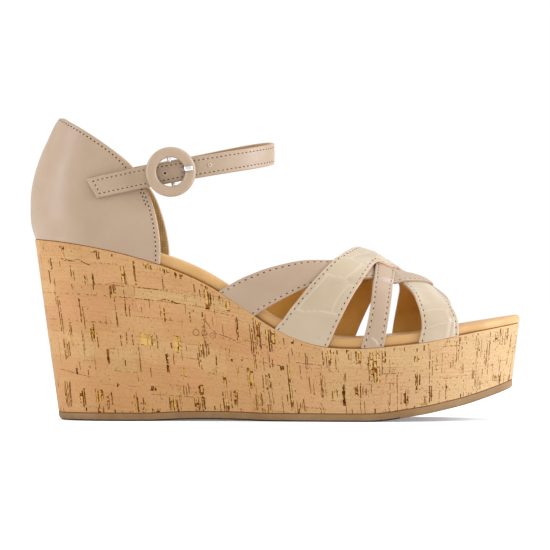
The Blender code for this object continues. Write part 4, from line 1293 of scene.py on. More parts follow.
for scratch in SCRATCHES:
    worm_line([(around_at(along, height), height) for along, height in scratch.places], scratch.width)
for curl in CURLS:
    around = around_at(curl.along, curl.height)
    line = []
    for k in range(CURL_STEPS + 1):
        angle = 2.0 * math.pi * k / CURL_STEPS
        line.append((around + curl.radius * math.cos(angle), curl.height + curl.radius * math.sin(angle)))
    worm_line(line, LINE_WIDTH)
for block in BLOCKS:
    middle = (block.band_low + block.band_high) / 2.0
    rear = around_at(block.rear, middle)
    front = around_at(block.front, middle)
    steps = max(2, round((front - rear) / JOINT_STEP))
    for band in (block.band_low, block.band_high):
        places = [rear + (front - rear) * i / steps for i in range(steps + 1)]
        worm_line([(around, band_height(around, band)) for around in places], LINE_WIDTH, JOINT_BROKEN)
print("faces with scratches and joints:", len(faces))

# %% [markdown]
# Last come the marks that lie anywhere: loose pores, lighter near the toe, fine tall pores, nicks at both
# edges of the veneer, and flecks all over the bark.

# %% Cork pores
LOOSE_PORES = 260
FINE_PORES = 110
EDGE_NICKS = 150
FLECKS = 1700
TOE_AROUND = 150.0
TOE_PORE = 0.65


def anywhere():
    """Random distance round the wall, with the lowest and highest place of the cork there."""
    around = cork_random.uniform(-WALL_LENGTHS[1][-1], WALL_LENGTHS[-1][-1])
    return (around, *wall_limits(around))


for _ in range(LOOSE_PORES):
    around, low, high = anywhere()
    heavy = cork_random.uniform(0.4, 0.85) * (TOE_PORE if abs(around) > TOE_AROUND else 1.0)
    top = cork_random.uniform(low + 2.0, high)
    tall = cork_random.uniform(2.0, 8.0)
    cork_pore(around, top, tall, heavy, cork_random.random() < 0.3)
for _ in range(FINE_PORES):
    around, low, high = anywhere()
    top = cork_random.uniform(low + 6.0, high)
    tall = cork_random.uniform(6.0, 15.0)
    cork_pore(around, top, tall, cork_random.uniform(0.3, 0.5), False)
for _ in range(EDGE_NICKS):
    around, low, high = anywhere()
    tall = cork_random.uniform(1.0, 3.4)
    top = cork_random.choice((low + tall, high))
    heavy = cork_random.uniform(0.5, 1.1)
    cork_pore(around, top, tall, heavy, cork_random.random() < 0.4)
for _ in range(FLECKS):
    around, low, high = anywhere()
    height = cork_random.uniform(low, high)
    lean = cork_random.uniform(-0.4, 0.4)
    tall = cork_random.uniform(0.25, 0.9)
    line = [(around, height), (around + lean * tall, height + tall)]
    cork_streak(line, cork_random.uniform(0.15, 0.4), FLECK_MIX, 0.0)
make_piece("cork_pores", points, faces, list(STREAK_KINDS), kinds=kinds, wrap=wrap, closed=False)

# %% [markdown]
# ## Stitches
# Every leather edge is sewn, and what the eye sees is a row of needle holes with a short thread sunk
# between them; each hole is drawn as a flat dark disc of painted shade. One function walks along a seam,
# given as points with their outward directions, and lays holes and threads at the stitch length. All
# stitches of one part are joined in one mesh.

# %% Stitch maker
Stitches = namedtuple("Stitches", "points faces kinds")
PALE_KIND = 0
HOLE_KIND = 1
HOLE_SIDES = 8
THREAD_STEPS = 4
THREAD_SIDES = 4
HOLE_LIFT = 0.05
HOLE_LONG = 2.0
THREAD_SHORT = 1.6
THREAD_END = 0.15


def sew(stitches, seam, length, hole=0.31, thread=0.42, height=0.16):
    """Add a row of stitches along a seam of (point, outward) pairs."""
    places = [0.0]
    for (a, _), (b, _) in zip(seam, seam[1:]):
        places.append(places[-1] + (b - a).length)
    count = max(1, round(places[-1] / length))

    def at(distance):
        i = min(max(bisect_right(places, distance) - 1, 0), len(seam) - 2)
        part = (distance - places[i]) / (places[i + 1] - places[i])
        point = seam[i][0].lerp(seam[i + 1][0], part)
        out = seam[i][1].lerp(seam[i + 1][1], part).normalized()
        return point, (seam[i + 1][0] - seam[i][0]).normalized(), out

    spacing = places[-1] / count
    thread_long = spacing - THREAD_SHORT * hole * HOLE_LONG
    for k in range(count + 1):
        point, run, out = at(min(k * spacing, places[-1]))
        side = out.cross(run)
        start = len(stitches.points)
        # The hole is a flat dark disc: painted shade where the thread goes in.
        stitches.points.append(point + out * HOLE_LIFT)
        for i in range(HOLE_SIDES):
            angle = 2.0 * math.pi * i / HOLE_SIDES
            rim = run * (hole * HOLE_LONG * math.cos(angle)) + side * (hole * math.sin(angle))
            stitches.points.append(point + rim + out * HOLE_LIFT)
        for i in range(HOLE_SIDES):
            stitches.faces.append((start, start + 1 + i, start + 1 + (i + 1) % HOLE_SIDES))
            stitches.kinds.append(HOLE_KIND)
        if k == count:
            break
        start = len(stitches.points)
        for i in range(THREAD_STEPS + 1):
            share = i / THREAD_STEPS
            point, run, out = at((k + 0.5) * spacing + (share - 0.5) * thread_long)
            side = out.cross(run)
            swell = max(THREAD_END, math.sin(math.pi * share)) ** 0.5
            for j in range(THREAD_SIDES + 1):
                angle = math.pi * j / THREAD_SIDES
                across = side * (thread * 0.5 * math.cos(angle) * swell)
                stitches.points.append(point + across + out * (height * math.sin(angle) * swell))
        rows = grid_faces(THREAD_STEPS + 1, THREAD_SIDES + 1, start)
        stitches.faces.extend(rows)
        stitches.kinds.extend([PALE_KIND] * len(rows))


def sewn_piece(name, stitches):
    """One mesh of all the stitches of a part."""
    return make_piece(name, stitches.points, stitches.faces, [thread_and_rim_highlight, painted_hole_shade],
                      kinds=stitches.kinds, closed=False)


print("stitch finishes:", thread_and_rim_highlight.name, painted_hole_shade.name)

# %% [markdown]
# ## The heel counter
# The counter stands on the seat and curves round the heel. A table gives its back line and its front
# edge at shares of its height; between them the surface follows the heel's round plan, narrower towards
# the collar. The lining lies one wall inside, and the rim between them is painted a paler pink.

# %% Counter shape
COUNTER_WALL = 1.9
COUNTER_INSET = 0.2
COUNTER_INSIDE = Vector((-80.0, 0.0, 110.0))
MEDIAL_EDGE_STEP = 3.4
BACK_SHARE = 0.12
OUT_SHARE = 0.006
TINY = 1e-9
Rise = namedtuple("Rise", "share back_x back_z edge_x edge_z")
COUNTER = (
    Rise(0.00, -122.2, 92.5, -57.2, 79.0),
    Rise(0.12, -124.1, 98.5, -57.1, 86.5),
    Rise(0.25, -124.7, 106.5, -57.9, 95.5),
    Rise(0.40, -124.3, 116.5, -59.8, 105.0),
    Rise(0.55, -122.3, 126.0, -63.5, 115.3),
    Rise(0.70, -119.2, 135.2, -70.2, 125.2),
    Rise(0.85, -115.3, 143.8, -82.5, 137.3),
    Rise(0.95, -112.0, 150.6, -98.0, 147.6),
    Rise(1.00, -110.2, 153.3, -107.2, 152.9),
)
Waist = namedtuple("Waist", "above_seat width_share")
HEEL_FORM = (
    Waist(0, 1.0),
    Waist(14, 1.02),
    Waist(30, 0.975),
    Waist(45, 0.90),
    Waist(64, 0.79),
)
heel_share = column(HEEL_FORM, "width_share")
counter_lines = {name: column(COUNTER, name) for name in Rise._fields[1:]}
counter_back = curve_through([row.back_z for row in COUNTER], [row.back_x for row in COUNTER])


def heel_outside(x, z, side):
    """Across place of the counter's outer face at a place along and up."""
    above = max(z - seat(x) - SEAM, 0.0)
    share = heel_share(above)
    end = rounding(x - counter_back(z), HEEL_ROUND * share, HEEL_POWER)
    return sole_centre(x) + side * (sole_half(x) - COUNTER_INSET) * share * end


def counter_point(share_up, share_round):
    """Point of the counter's outer face; share_round runs from lateral edge to medial edge."""
    side = -1 if share_round < 0.0 else 1
    edge_step = MEDIAL_EDGE_STEP if side > 0 else 0.0
    back_x = counter_lines["back_x"](share_up)
    back_z = counter_lines["back_z"](share_up)
    edge_x = counter_lines["edge_x"](share_up) + edge_step * (1.0 - share_up)
    edge_z = counter_lines["edge_z"](share_up)
    along = 1.0 - math.cos(abs(share_round) * math.pi / 2.0)
    x = back_x + (edge_x - back_x) * along
    straight = back_z + (edge_z - back_z) * along
    foot_x = COUNTER[0].back_x + (COUNTER[0].edge_x + edge_step - COUNTER[0].back_x) * along
    foot_straight = COUNTER[0].back_z + (COUNTER[0].edge_z - COUNTER[0].back_z) * along
    settle = seat(foot_x) + SEAM - foot_straight
    z = straight + settle * (1.0 - share_up) ** 2
    return Vector((x, heel_outside(x, z, side), z))


@lru_cache(maxsize=None)
def counter_out(share_up, share_round):
    """Outward direction of the counter; across the back seam it turns evenly."""
    if abs(share_round) < BACK_SHARE:
        sides = [counter_out(share_up, side * BACK_SHARE) for side in (-1, 1)]
        return sides[0].lerp(sides[1], 0.5 + 0.5 * share_round / BACK_SHARE).normalized()
    low = counter_point(max(share_up - OUT_SHARE, 0.0), share_round)
    high = counter_point(min(share_up + OUT_SHARE, 1.0), share_round)
    before = counter_point(share_up, max(share_round - OUT_SHARE, -1.0))
    after = counter_point(share_up, min(share_round + OUT_SHARE, 1.0))
    out = (after - before).cross(high - low)
    if out.length < TINY:
        return Vector((-1.0, 0.0, 0.0))
    out.normalize()
    from_inside = counter_point(share_up, share_round) - COUNTER_INSIDE
    return out if out.dot(from_inside) > 0.0 else -out


print("counter height in millimetres:", round(COUNTER[-1].back_z - COUNTER[0].back_z, 1))

# %% [markdown]
# The seam follows the collar and the front edge a little inside the rim. It is found by stepping back
# from the edge by a set distance at each share of the height. A short back tack beside the lateral seam
# strengthens it where the ankle strap pulls.

# %% Counter pieces
COUNTER_ROWS = 72
COUNTER_COLUMNS = 64
COUNTER_EDGE = 0.991
COUNTER_SEAM_INSET = 1.9
COUNTER_STITCH = 2.3
BACK_TACK_INSET = 3.2
BACK_TACK_LOW = 109.0
BACK_TACK_TOP = 115.0
COUNTER_SEAM_STEPS = 120
COUNTER_SEAM_FROM = 0.02
COUNTER_SEAM_SPAN = 0.965
NEAR_SHARE = 0.05
AHEAD_SHARE = 0.01
LEAST_ACROSS = 0.1
LEAST_ROUND = 0.3

outer = []
inner = []
for i in range(COUNTER_ROWS + 1):
    share_up = i / COUNTER_ROWS
    shares = [COUNTER_EDGE * (j / COUNTER_COLUMNS - 1.0) for j in range(2 * COUNTER_COLUMNS + 1)]
    outer.append([counter_point(share_up, share) for share in shares])
    walls = [counter_out(share_up, share) * COUNTER_WALL for share in shares]
    inner.append([point - wall for point, wall in zip(outer[-1], walls)])
points, faces, kinds = leather_shell(outer, inner)
make_piece("leather_counter", points, faces, [nude_leather, edge_paint, heel_lining],
           ["heel_counter"], kinds=kinds)


def counter_seam(side, inset=COUNTER_SEAM_INSET):
    """Seam of (point, outward) pairs beside the counter's front edge and collar."""
    seam = []
    for i in range(COUNTER_SEAM_STEPS + 1):
        share_up = COUNTER_SEAM_FROM + COUNTER_SEAM_SPAN * i / COUNTER_SEAM_STEPS
        edge = counter_point(share_up, side * COUNTER_EDGE)
        near = counter_point(share_up, side * (COUNTER_EDGE - NEAR_SHARE))
        ahead = counter_point(share_up + AHEAD_SHARE, side * COUNTER_EDGE) - edge
        across = (near - edge).cross(ahead.normalized()).length
        share = max(COUNTER_EDGE - NEAR_SHARE * inset / max(across, LEAST_ACROSS), LEAST_ROUND)
        seam.append((counter_point(share_up, side * share), counter_out(share_up, side * share)))
    return seam


stitches = Stitches([], [], [])
for side in (-1, 1):
    sew(stitches, counter_seam(side), COUNTER_STITCH)
tack_line = counter_seam(-1, BACK_TACK_INSET)
back_tack = [spot for spot in tack_line if BACK_TACK_LOW < spot[0].z < BACK_TACK_TOP]
sew(stitches, back_tack, COUNTER_STITCH)
sewn_piece("counter_stitches", stitches)

# %% [markdown]
# ## The woven vamp
# Four straps cross the forefoot on one foot form: an upright side of a few millimetres, then an oval up
# to the crown. A strap is a path on that form, given as places along the shoe at turns round the foot,
# with its width. Where a strap rides over another it is lifted by the other's thickness, with a soft
# slope beside it, as leather bends.

# %% Foot form
STRAP_WALL = 1.8
STRAP_INSET = 0.2
STRAP_BASE = 0.1
FOOT_WALL_SHARE = 0.045
FOOT_WALL_RISE = 6.2
CROWN_SHIFT = 4.0
Crown = namedtuple("Crown", "along height")
CROWN = (
    Crown(-40, 118.0),
    Crown(-20, 112.5),
    Crown(0, 106.0),
    Crown(10, 102.5),
    Crown(20, 98.5),
    Crown(32, 92.2),
    Crown(41.5, 86.0),
    Crown(48, 82.2),
    Crown(53, 78.9),
    Crown(58, 75.3),
    Crown(62, 73.2),
    Crown(66.5, 72.0),
    Crown(70.5, 71.1),
    Crown(74.5, 69.8),
    Crown(78, 68.0),
    Crown(82, 65.2),
    Crown(88, 61.8),
    Crown(95, 58.2),
    Crown(104, 54.0),
)
crown_height = column(CROWN, "height")


def foot_point(x, turn):
    """Point of the foot form under the straps, turn 0 at the lateral edge and 1 at the medial."""
    base = seat(x) + STRAP_BASE
    side = -1 if turn < 0.5 else 1
    edge = sole_centre(x) + side * (sole_half(x) * sole_round(x) - STRAP_INSET - STRAP_WALL)
    from_edge = min(turn, 1.0 - turn)
    if from_edge < FOOT_WALL_SHARE:
        return Vector((x, edge, base + FOOT_WALL_RISE * from_edge / FOOT_WALL_SHARE))
    angle = math.pi * (from_edge - FOOT_WALL_SHARE) / (1.0 - 2.0 * FOOT_WALL_SHARE)
    shoulder = base + FOOT_WALL_RISE
    middle = sole_centre(x) + CROWN_SHIFT
    y = middle + (edge - middle) * math.cos(angle)
    z = shoulder + (crown_height(x) - shoulder) * math.sin(angle)
    return Vector((x, y, z))


def foot_directions(x, turn):
    """Directions along the shoe, round the foot, and out of the foot form."""
    small_x = 0.5
    small_turn = 0.012
    along = (foot_point(x + small_x, turn) - foot_point(x - small_x, turn)) / (2.0 * small_x)
    low = max(turn - small_turn, 0.0)
    high = min(turn + small_turn, 1.0)
    over = (foot_point(x, high) - foot_point(x, low)) / (high - low)
    return along, over, along.cross(over).normalized()


print("crown in millimetres:", CROWN[0].height, "at the instep and", CROWN[-1].height, "at the toes")

# %% [markdown]
# Each row of a strap's table is a turn round the foot, from the lateral edge of the sole (0) to the medial
# one (1), with the places of the strap's rear and front edges along the shoe. The straps are listed from
# the lowest to the topmost. The width that matters for seams is measured square to the strap's run.

# %% Strap paths
Path = namedtuple("Path", "round rear front")
WAIST_STRAP = (
    Path(0.0, -28.2, -9.8), Path(0.05, -22.5, -4.5), Path(0.09, -17.0, 2.0), Path(0.13, -10.7, 9.8),
    Path(0.165, -4.5, 17.6), Path(0.2, 3.5, 27.3), Path(0.235, 13.0, 38.2), Path(0.27, 25.7, 47.4),
    Path(0.32, 39.0, 60.0), Path(0.37, 47.0, 71.5), Path(0.43, 53.3, 77.8), Path(0.5, 58.5, 82.0),
    Path(0.55, 66.0, 85.0), Path(0.6, 70.5, 87.5), Path(0.65, 74.0, 89.0), Path(0.75, 77.0, 91.0),
    Path(0.9, 78.5, 93.0), Path(1.0, 79.0, 93.5),
)
WIDE_STRAP = (
    Path(0.0, 0.0, 26.6), Path(0.05, 4.4, 29.6), Path(0.1, 9.6, 33.4), Path(0.15, 15.4, 37.0),
    Path(0.2, 21.2, 40.5), Path(0.25, 26.5, 43.9), Path(0.3, 31.0, 46.8), Path(0.34, 34.0, 48.7),
    Path(0.37, 36.0, 50.8), Path(0.4, 37.6, 56.0), Path(0.44, 39.6, 59.2), Path(0.5, 42.5, 61.5),
    Path(0.55, 50.0, 66.0), Path(0.6, 57.5, 70.5), Path(0.65, 63.0, 75.0), Path(0.72, 64.2, 77.5),
    Path(0.8, 63.5, 78.0), Path(0.9, 62.0, 77.5), Path(1.0, 60.4, 77.0),
)
NARROW_STRAP = (
    Path(0.0, 42.8, 54.4), Path(0.1, 46.4, 56.5), Path(0.2, 48.2, 57.9), Path(0.3, 49.0, 58.8),
    Path(0.4, 49.5, 59.4), Path(0.5, 50.3, 60.3), Path(0.645, 48.3, 59.0), Path(0.81, 39.0, 51.0),
    Path(1.0, 27.0, 40.0),
)
TOE_STRAP = (
    Path(0.0, 71.4, 91.6), Path(0.06, 73.1, 91.3), Path(0.125, 72.7, 90.4), Path(0.206, 70.8, 88.9),
    Path(0.273, 68.6, 87.4), Path(0.331, 64.7, 85.4), Path(0.402, 60.3, 81.0), Path(0.5, 54.0, 72.5),
    Path(0.655, 40.0, 58.0), Path(0.81, 14.0, 36.0), Path(0.934, -5.2, 20.8), Path(1.0, -16.0, 11.5),
)
STRAPS = {
    "toe_strap": TOE_STRAP,
    "waist_strap": WAIST_STRAP,
    "narrow_strap": NARROW_STRAP,
    "wide_strap": WIDE_STRAP,
}
strap_rear = {name: column(table, "rear") for name, table in STRAPS.items()}
strap_front = {name: column(table, "front") for name, table in STRAPS.items()}


@lru_cache(maxsize=None)
def strap_edges(name, turn):
    """A strap's rear and front place at a turn round the foot."""
    return strap_rear[name](turn), strap_front[name](turn)


@lru_cache(maxsize=None)
def strap_half(name, turn):
    """Half of a strap's width, measured square to its run."""
    small_turn = 0.02
    low = max(turn - small_turn, 0.0)
    high = min(turn + small_turn, 1.0)
    rear, front = strap_edges(name, turn)
    slope = (sum(strap_edges(name, high)) - sum(strap_edges(name, low))) / 2.0 / (high - low)
    along, over, out = foot_directions((rear + front) / 2.0, turn)
    across = (over + along * slope).cross(out).normalized()
    return (front - rear) / 2.0 * abs(along.dot(across))


print("straps from the lowest up:", list(STRAPS))

# %% [markdown]
# The skins here are a little thinner than the solids, so that the layers lie on each other without
# cutting in, while the top of each strap stays where the solid has it. Only the wide strap arches up a
# little more where it crosses the others, as the photograph shows.

# %% Strap surface
STRAP_SKIN = 1.45
STRAP_STAND = 0.35
STRAP_RISE = 1.4
STRAP_PRESS = 0.7
STRAP_FADE = 4.5
ARCH_HEIGHT = 2.0
ARCH_ALONG = 46.5
ARCH_LONG = 5.0
ARCH_TURN = 0.45
ARCH_ROUND = 0.12


def strap_lift(name, x, turn):
    """Height of a strap above the foot form where it rides over the straps under it."""
    order = list(STRAPS)
    layers = 0.0
    for under in order[:order.index(name)]:
        rear, front = strap_edges(under, turn)
        outside = max(rear - x, x - front, 0.0)
        layers += 1.0 - smooth_step(outside / STRAP_FADE)
    pressed = (1.0 - STRAP_PRESS ** layers) / (1.0 - STRAP_PRESS)
    arch = 0.0
    if name == "wide_strap":
        along_arch = (x - ARCH_ALONG) / ARCH_LONG
        round_arch = (turn - ARCH_TURN) / ARCH_ROUND
        arch = ARCH_HEIGHT * math.exp(-along_arch ** 2 - round_arch ** 2)
    settled = smooth_step((min(turn, 1.0 - turn) - FOOT_WALL_SHARE) / FOOT_WALL_SHARE)
    return STRAP_STAND + STRAP_RISE * pressed * settled + arch


def strap_place(name, turn, across, height):
    """Point of a strap and its outward direction; across runs from -1 at the rear to 1 at the front."""
    rear, front = strap_edges(name, turn)
    x = (rear + front) / 2.0 + across * (front - rear) / 2.0
    out = foot_directions(x, turn)[2]
    return foot_point(x, turn) + out * (strap_lift(name, x, turn) + height), out


crest = strap_lift("wide_strap", ARCH_ALONG, ARCH_TURN) + STRAP_SKIN
print("wide strap's crest over the foot form in millimetres:", round(crest, 1))

# %% [markdown]
# The wide strap and the toe strap are embossed like crocodile skin: long plates with a soft trough
# between two raised lips. The tables place the cross troughs at turns round the foot where the
# photograph shows them, and split each row of plates lengthwise. Sewn seams press a shallow channel
# into every strap.

# %% Strap relief
PlateRow = namedtuple("PlateRow", "turn slant splits")
PLATES = {
    "wide_strap": (
        PlateRow(-0.05, 0.0, ()), PlateRow(0.1, 0.012, (-0.68, 0.53)), PlateRow(0.216, -0.003, (0.3,)),
        PlateRow(0.31, 0.0, (-0.3,)), PlateRow(0.42, 0.0, (0.3,)), PlateRow(0.53, 0.0, (-0.3,)),
        PlateRow(0.64, 0.0, (0.2,)), PlateRow(0.76, 0.0, (-0.35, 0.3)), PlateRow(0.88, 0.0, (0.15,)),
    ),
    "toe_strap": (
        PlateRow(-0.05, 0.0, (0.52,)), PlateRow(0.062, 0.01, (0.6,)), PlateRow(0.168, 0.02, ()),
        PlateRow(0.30, 0.01, (0.35,)), PlateRow(0.44, 0.0, (-0.2,)), PlateRow(0.58, 0.0, (0.4,)),
        PlateRow(0.72, 0.0, (-0.35,)), PlateRow(0.86, 0.0, (0.2,)),
    ),
}
TROUGH_DEPTH = 0.11
TROUGH_HALF = 0.8
LIP_HEIGHT = 0.06
LIP_PLACE = 1.6
# Width and strength of the painted highlight along each trough line.
LINE_HALF = 0.3
LINE_MARK = 0.5
SEAM_INSET = 1.7
SEAM_DEPTH = 0.14
SEAM_HALF = 0.5
STRAP_CROWN = 0.18
LINE_BOW = 0.003
BOW_TURNS = 5.0
BOW_START = 1.3
SPLIT_WAVE = 0.06
WAVE_TURNS = 40.0
WAVE_SHIFT = 9.0
PLATE_MARGIN = 0.8
PLATE_FADE = 1.5


def trough(distance):
    """Height of a trough with raised lips at a distance from its line."""
    lip = LIP_HEIGHT * math.exp(-((abs(distance) - LIP_PLACE) / TROUGH_HALF) ** 2)
    return lip - TROUGH_DEPTH * math.exp(-(distance / TROUGH_HALF) ** 2)


def plate_relief(name, turn, across, round_length, half_width):
    """Height of the embossed plates, and their mark: a painted highlight along the troughs."""
    rows = PLATES.get(name)
    if not rows:
        return 0.0, 0.0
    bow = LINE_BOW * math.sin(BOW_TURNS * across + BOW_START)
    lines = [row.turn + row.slant * across + bow for row in rows]
    distances = [(turn - line) * round_length for line in lines]
    current = [row for row, line in zip(rows, lines) if line <= turn][-1]
    for split in current.splits:
        wave = SPLIT_WAVE * math.sin(WAVE_TURNS * turn + WAVE_SHIFT * split)
        distances.append((across - split - wave) * half_width)
    nearest = min(distances, key=abs)
    return trough(nearest), LINE_MARK * math.exp(-(nearest / LINE_HALF) ** 2)


Crease = namedtuple("Crease", "strap turn across end_turn end_across")
CREASES = (
    Crease("narrow_strap", 0.034, -0.2, 0.022, 0.22),
    Crease("narrow_strap", 0.022, 0.22, 0.010, 0.42),
)
CREASE_DEPTH = 0.16
CREASE_HALF = 0.32


def crease_relief(name, turn, across, round_length, half_width):
    """Height and mark of the small folds at a strap's foot; the mark is a painted highlight along each
    fold.
    """
    height = 0.0
    for crease in CREASES:
        if crease.strap != name:
            continue
        start = Vector((crease.turn * round_length, crease.across * half_width))
        run = Vector((crease.end_turn * round_length, crease.end_across * half_width)) - start
        here = Vector((turn * round_length, across * half_width)) - start
        share = min(max(here.dot(run) / run.length_squared, 0.0), 1.0)
        height = max(height, math.exp(-((here - run * share).length / CREASE_HALF) ** 2))
    return -CREASE_DEPTH * height, height


def strap_relief(name, turn, across, round_length):
    """Height of a strap's top over its flat skin, and its mark of painted highlight."""
    half_width = strap_half(name, turn)
    to_edge = half_width * (1.0 - abs(across))
    plates, mark = plate_relief(name, turn, across, round_length, half_width)
    plates *= smooth_step((to_edge - PLATE_MARGIN) / PLATE_FADE)
    folds, fold_mark = crease_relief(name, turn, across, round_length, half_width)
    seam = -SEAM_DEPTH * math.exp(-((to_edge - SEAM_INSET) / SEAM_HALF) ** 2)
    crown = STRAP_CROWN * (1.0 - across * across)
    return crown + seam + plates + folds, max(mark, fold_mark)


print("rows of plates:", {name: len(rows) for name, rows in PLATES.items()})

# %% [markdown]
# Each strap is now two skins of points: the relief raises the top one, the lining stays plain. Rows are
# less than a millimetre apart, fine enough for the troughs, and the rim is rounded by the shell maker.

# %% Vamp straps
STRAP_ROWS = 200
STRAP_COLUMNS = 44
RIM_REACH = 0.4
LENGTH_STEPS = 80


def strap_length(name):
    """Length of a strap's middle line."""
    line = [strap_place(name, i / LENGTH_STEPS, 0.0, 0.0)[0] for i in range(LENGTH_STEPS + 1)]
    return sum((b - a).length for a, b in zip(line, line[1:]))


def vamp_strap(name, finish):
    """One strap of the vamp, without its stitches."""
    length = strap_length(name)
    outer = []
    inner = []
    marks = []
    for i in range(STRAP_ROWS + 1):
        turn = i / STRAP_ROWS
        outer.append([])
        inner.append([])
        for j in range(STRAP_COLUMNS + 1):
            across = (1.0 - RIM_REACH / strap_half(name, turn)) * (2.0 * j / STRAP_COLUMNS - 1.0)
            raised, mark = strap_relief(name, turn, across, length)
            outer[-1].append(strap_place(name, turn, across, STRAP_SKIN + raised)[0])
            inner[-1].append(strap_place(name, turn, across, 0.0)[0])
            marks.append(mark)
    points, faces, kinds = leather_shell(outer, inner)
    marks += [0.0] * (len(points) - len(marks))
    rim = edge_paint if finish is embossed_leather else finish
    make_piece(name, points, faces, [finish, rim, tan_lining], ["vamp_straps"],
               kinds=kinds, marks=marks)
    print(name, "is", round(length), "mm long")


for name in STRAPS:
    vamp_strap(name, embossed_leather if name in PLATES else nude_leather)

# %% [markdown]
# Both edges of every strap are sewn. The seam lies in the channel that the relief pressed, from one edge
# of the sole to the other, and takes its height and its outward direction from the strap itself.

# %% Vamp stitches
STRAP_STITCH = 3.25
STRAP_SEAM_STEPS = 160
STRAP_SEAM_FROM = 0.006
STRAP_SEAM_SPAN = 0.988


def strap_seam(name, side):
    """Seam of (point, outward) pairs along one edge of a strap."""
    length = strap_length(name)
    seam = []
    for i in range(STRAP_SEAM_STEPS + 1):
        turn = STRAP_SEAM_FROM + STRAP_SEAM_SPAN * i / STRAP_SEAM_STEPS
        across = side * (1.0 - SEAM_INSET / strap_half(name, turn))
        raised = strap_relief(name, turn, across, length)[0]
        seam.append(strap_place(name, turn, across, STRAP_SKIN + raised))
    return seam


stitches = Stitches([], [], [])
for name in STRAPS:
    for side in (-1, 1):
        sew(stitches, strap_seam(name, side), STRAP_STITCH)
sewn_piece("vamp_stitches", stitches)

# %% [markdown]
# ## The ankle strap
# One strap starts with its slanted tip on the lateral side of the counter, passes under the buckle's
# ring, goes round the ankle and ends on the medial side. Its path is a table of places; where it lies
# on the counter, the counter's own surface gives the place across.

# %% Ankle strap path
ANKLE_WALL = 1.8
ANKLE_WIDTH = 10.6
ANKLE_SEAM = 0.42
TIP_SLANT = 3.0
TIP_REACH = 9.0
ANKLE_INSIDE = Vector((-45.0, 0.0, 125.0))
LEAN_SCALE = 10.0
ON_COUNTER = None
Loop = namedtuple("Loop", "along across height")
ANKLE = (
    Loop(-91.7, ON_COUNTER, 116.8),
    Loop(-84.5, ON_COUNTER, 118.5),
    Loop(-77.5, ON_COUNTER, 120.0),
    Loop(-70.5, ON_COUNTER, 121.5),
    Loop(-62.0, -31.0, 123.3),
    Loop(-52.3, -31.4, 125.2),
    Loop(-38.0, -30.2, 127.8),
    Loop(-24.0, -26.4, 130.3),
    Loop(-11.5, -19.0, 132.6),
    Loop(-4.4, -10.2, 134.3),
    Loop(-2.2, 0.3, 135.5),
    Loop(-4.4, 10.8, 136.2),
    Loop(-11.5, 19.4, 135.6),
    Loop(-24.0, 26.4, 133.5),
    Loop(-38.0, 29.8, 130.7),
    Loop(-52.3, 30.8, 128.0),
    Loop(-62.0, 30.6, 126.2),
    Loop(-70.5, ON_COUNTER, 124.5),
    Loop(-77.5, ON_COUNTER, 122.9),
    Loop(-84.5, ON_COUNTER, 121.2),
    Loop(-90.5, ON_COUNTER, 119.6),
)


def ankle_frames(count):
    """Middle of the strap's inner face with its run, up and out directions."""
    small = 1.0
    places = []
    for i, row in enumerate(ANKLE):
        side = -1 if i < len(ANKLE) // 2 else 1
        lean = 0.0
        y = row.across
        if row.across is ON_COUNTER:
            y = heel_outside(row.along, row.height, side) + side * ANKLE_SEAM
            top = heel_outside(row.along, row.height + small, side)
            low = heel_outside(row.along, row.height - small, side)
            lean = -side * (top - low) / (2.0 * small)
        places.append((row.along, y, row.height, lean * LEAN_SCALE))
    middle = path_through([place[:3] for place in places], count)
    leans = path_through(places, count)
    frames = []
    for i, point in enumerate(middle):
        run = (middle[min(i + 1, count)] - middle[max(i - 1, 0)]).normalized()
        level = Vector((run.y, -run.x, 0.0)).normalized()
        if level.dot(point - ANKLE_INSIDE) < 0.0:
            level = -level
        up = (level + Vector((0.0, 0.0, leans[i][3] / LEAN_SCALE))).cross(run).normalized()
        up = -up if up.z < 0.0 else up
        out = up.cross(run).normalized()
        frames.append((point, run, up, out if out.dot(level) > 0.0 else -out))
    return frames


ANKLE_ROWS = 300
ankle_path = ankle_frames(ANKLE_ROWS)
ankle_lengths = [0.0]
for (a, *_), (b, *_) in zip(ankle_path, ankle_path[1:]):
    ankle_lengths.append(ankle_lengths[-1] + (b - a).length)
print("ankle strap is", round(ankle_lengths[-1]), "mm long")

# %% [markdown]
# The skins are laid across that path. The tip is cut on a slant, so the first millimetres are sheared,
# less and less along the strap.

# %% Ankle strap
ANKLE_COLUMNS = 16
ANKLE_EDGE = 0.93
ANKLE_SEAM_INSET = 1.9
ANKLE_CROWN = 0.12


def ankle_place(i, across, height):
    """Point of the ankle strap at a row, across from -1 at its lower edge to 1 at its upper edge."""
    point, run, up, out = ankle_path[i]
    shear = -across * TIP_SLANT / 2.0 * (1.0 - smooth_step(ankle_lengths[i] / TIP_REACH))
    return point + up * (across * ANKLE_WIDTH / 2.0) + run * shear + out * height, out


def ankle_relief(across):
    """Soft crown of the strap with a channel at its seams."""
    to_edge = ANKLE_WIDTH / 2.0 * (1.0 - abs(across))
    channel = SEAM_DEPTH * math.exp(-((to_edge - ANKLE_SEAM_INSET) / SEAM_HALF) ** 2)
    return ANKLE_CROWN * (1.0 - across * across) - channel


def ankle_top(i, across):
    """Point on the strap's outer face and its outward direction."""
    return ankle_place(i, across, ANKLE_WALL + ankle_relief(across))


outer = []
inner = []
for i in range(ANKLE_ROWS + 1):
    shares = [ANKLE_EDGE * (2.0 * j / ANKLE_COLUMNS - 1.0) for j in range(ANKLE_COLUMNS + 1)]
    outer.append([ankle_top(i, across)[0] for across in shares])
    inner.append([ankle_place(i, across, 0.0)[0] for across in shares])
points, faces, kinds = leather_shell(outer, inner)
make_piece("leather_ankle_strap", points, faces, [nude_leather, nude_leather, strap_lining],
           ["ankle_strap"], kinds=kinds)

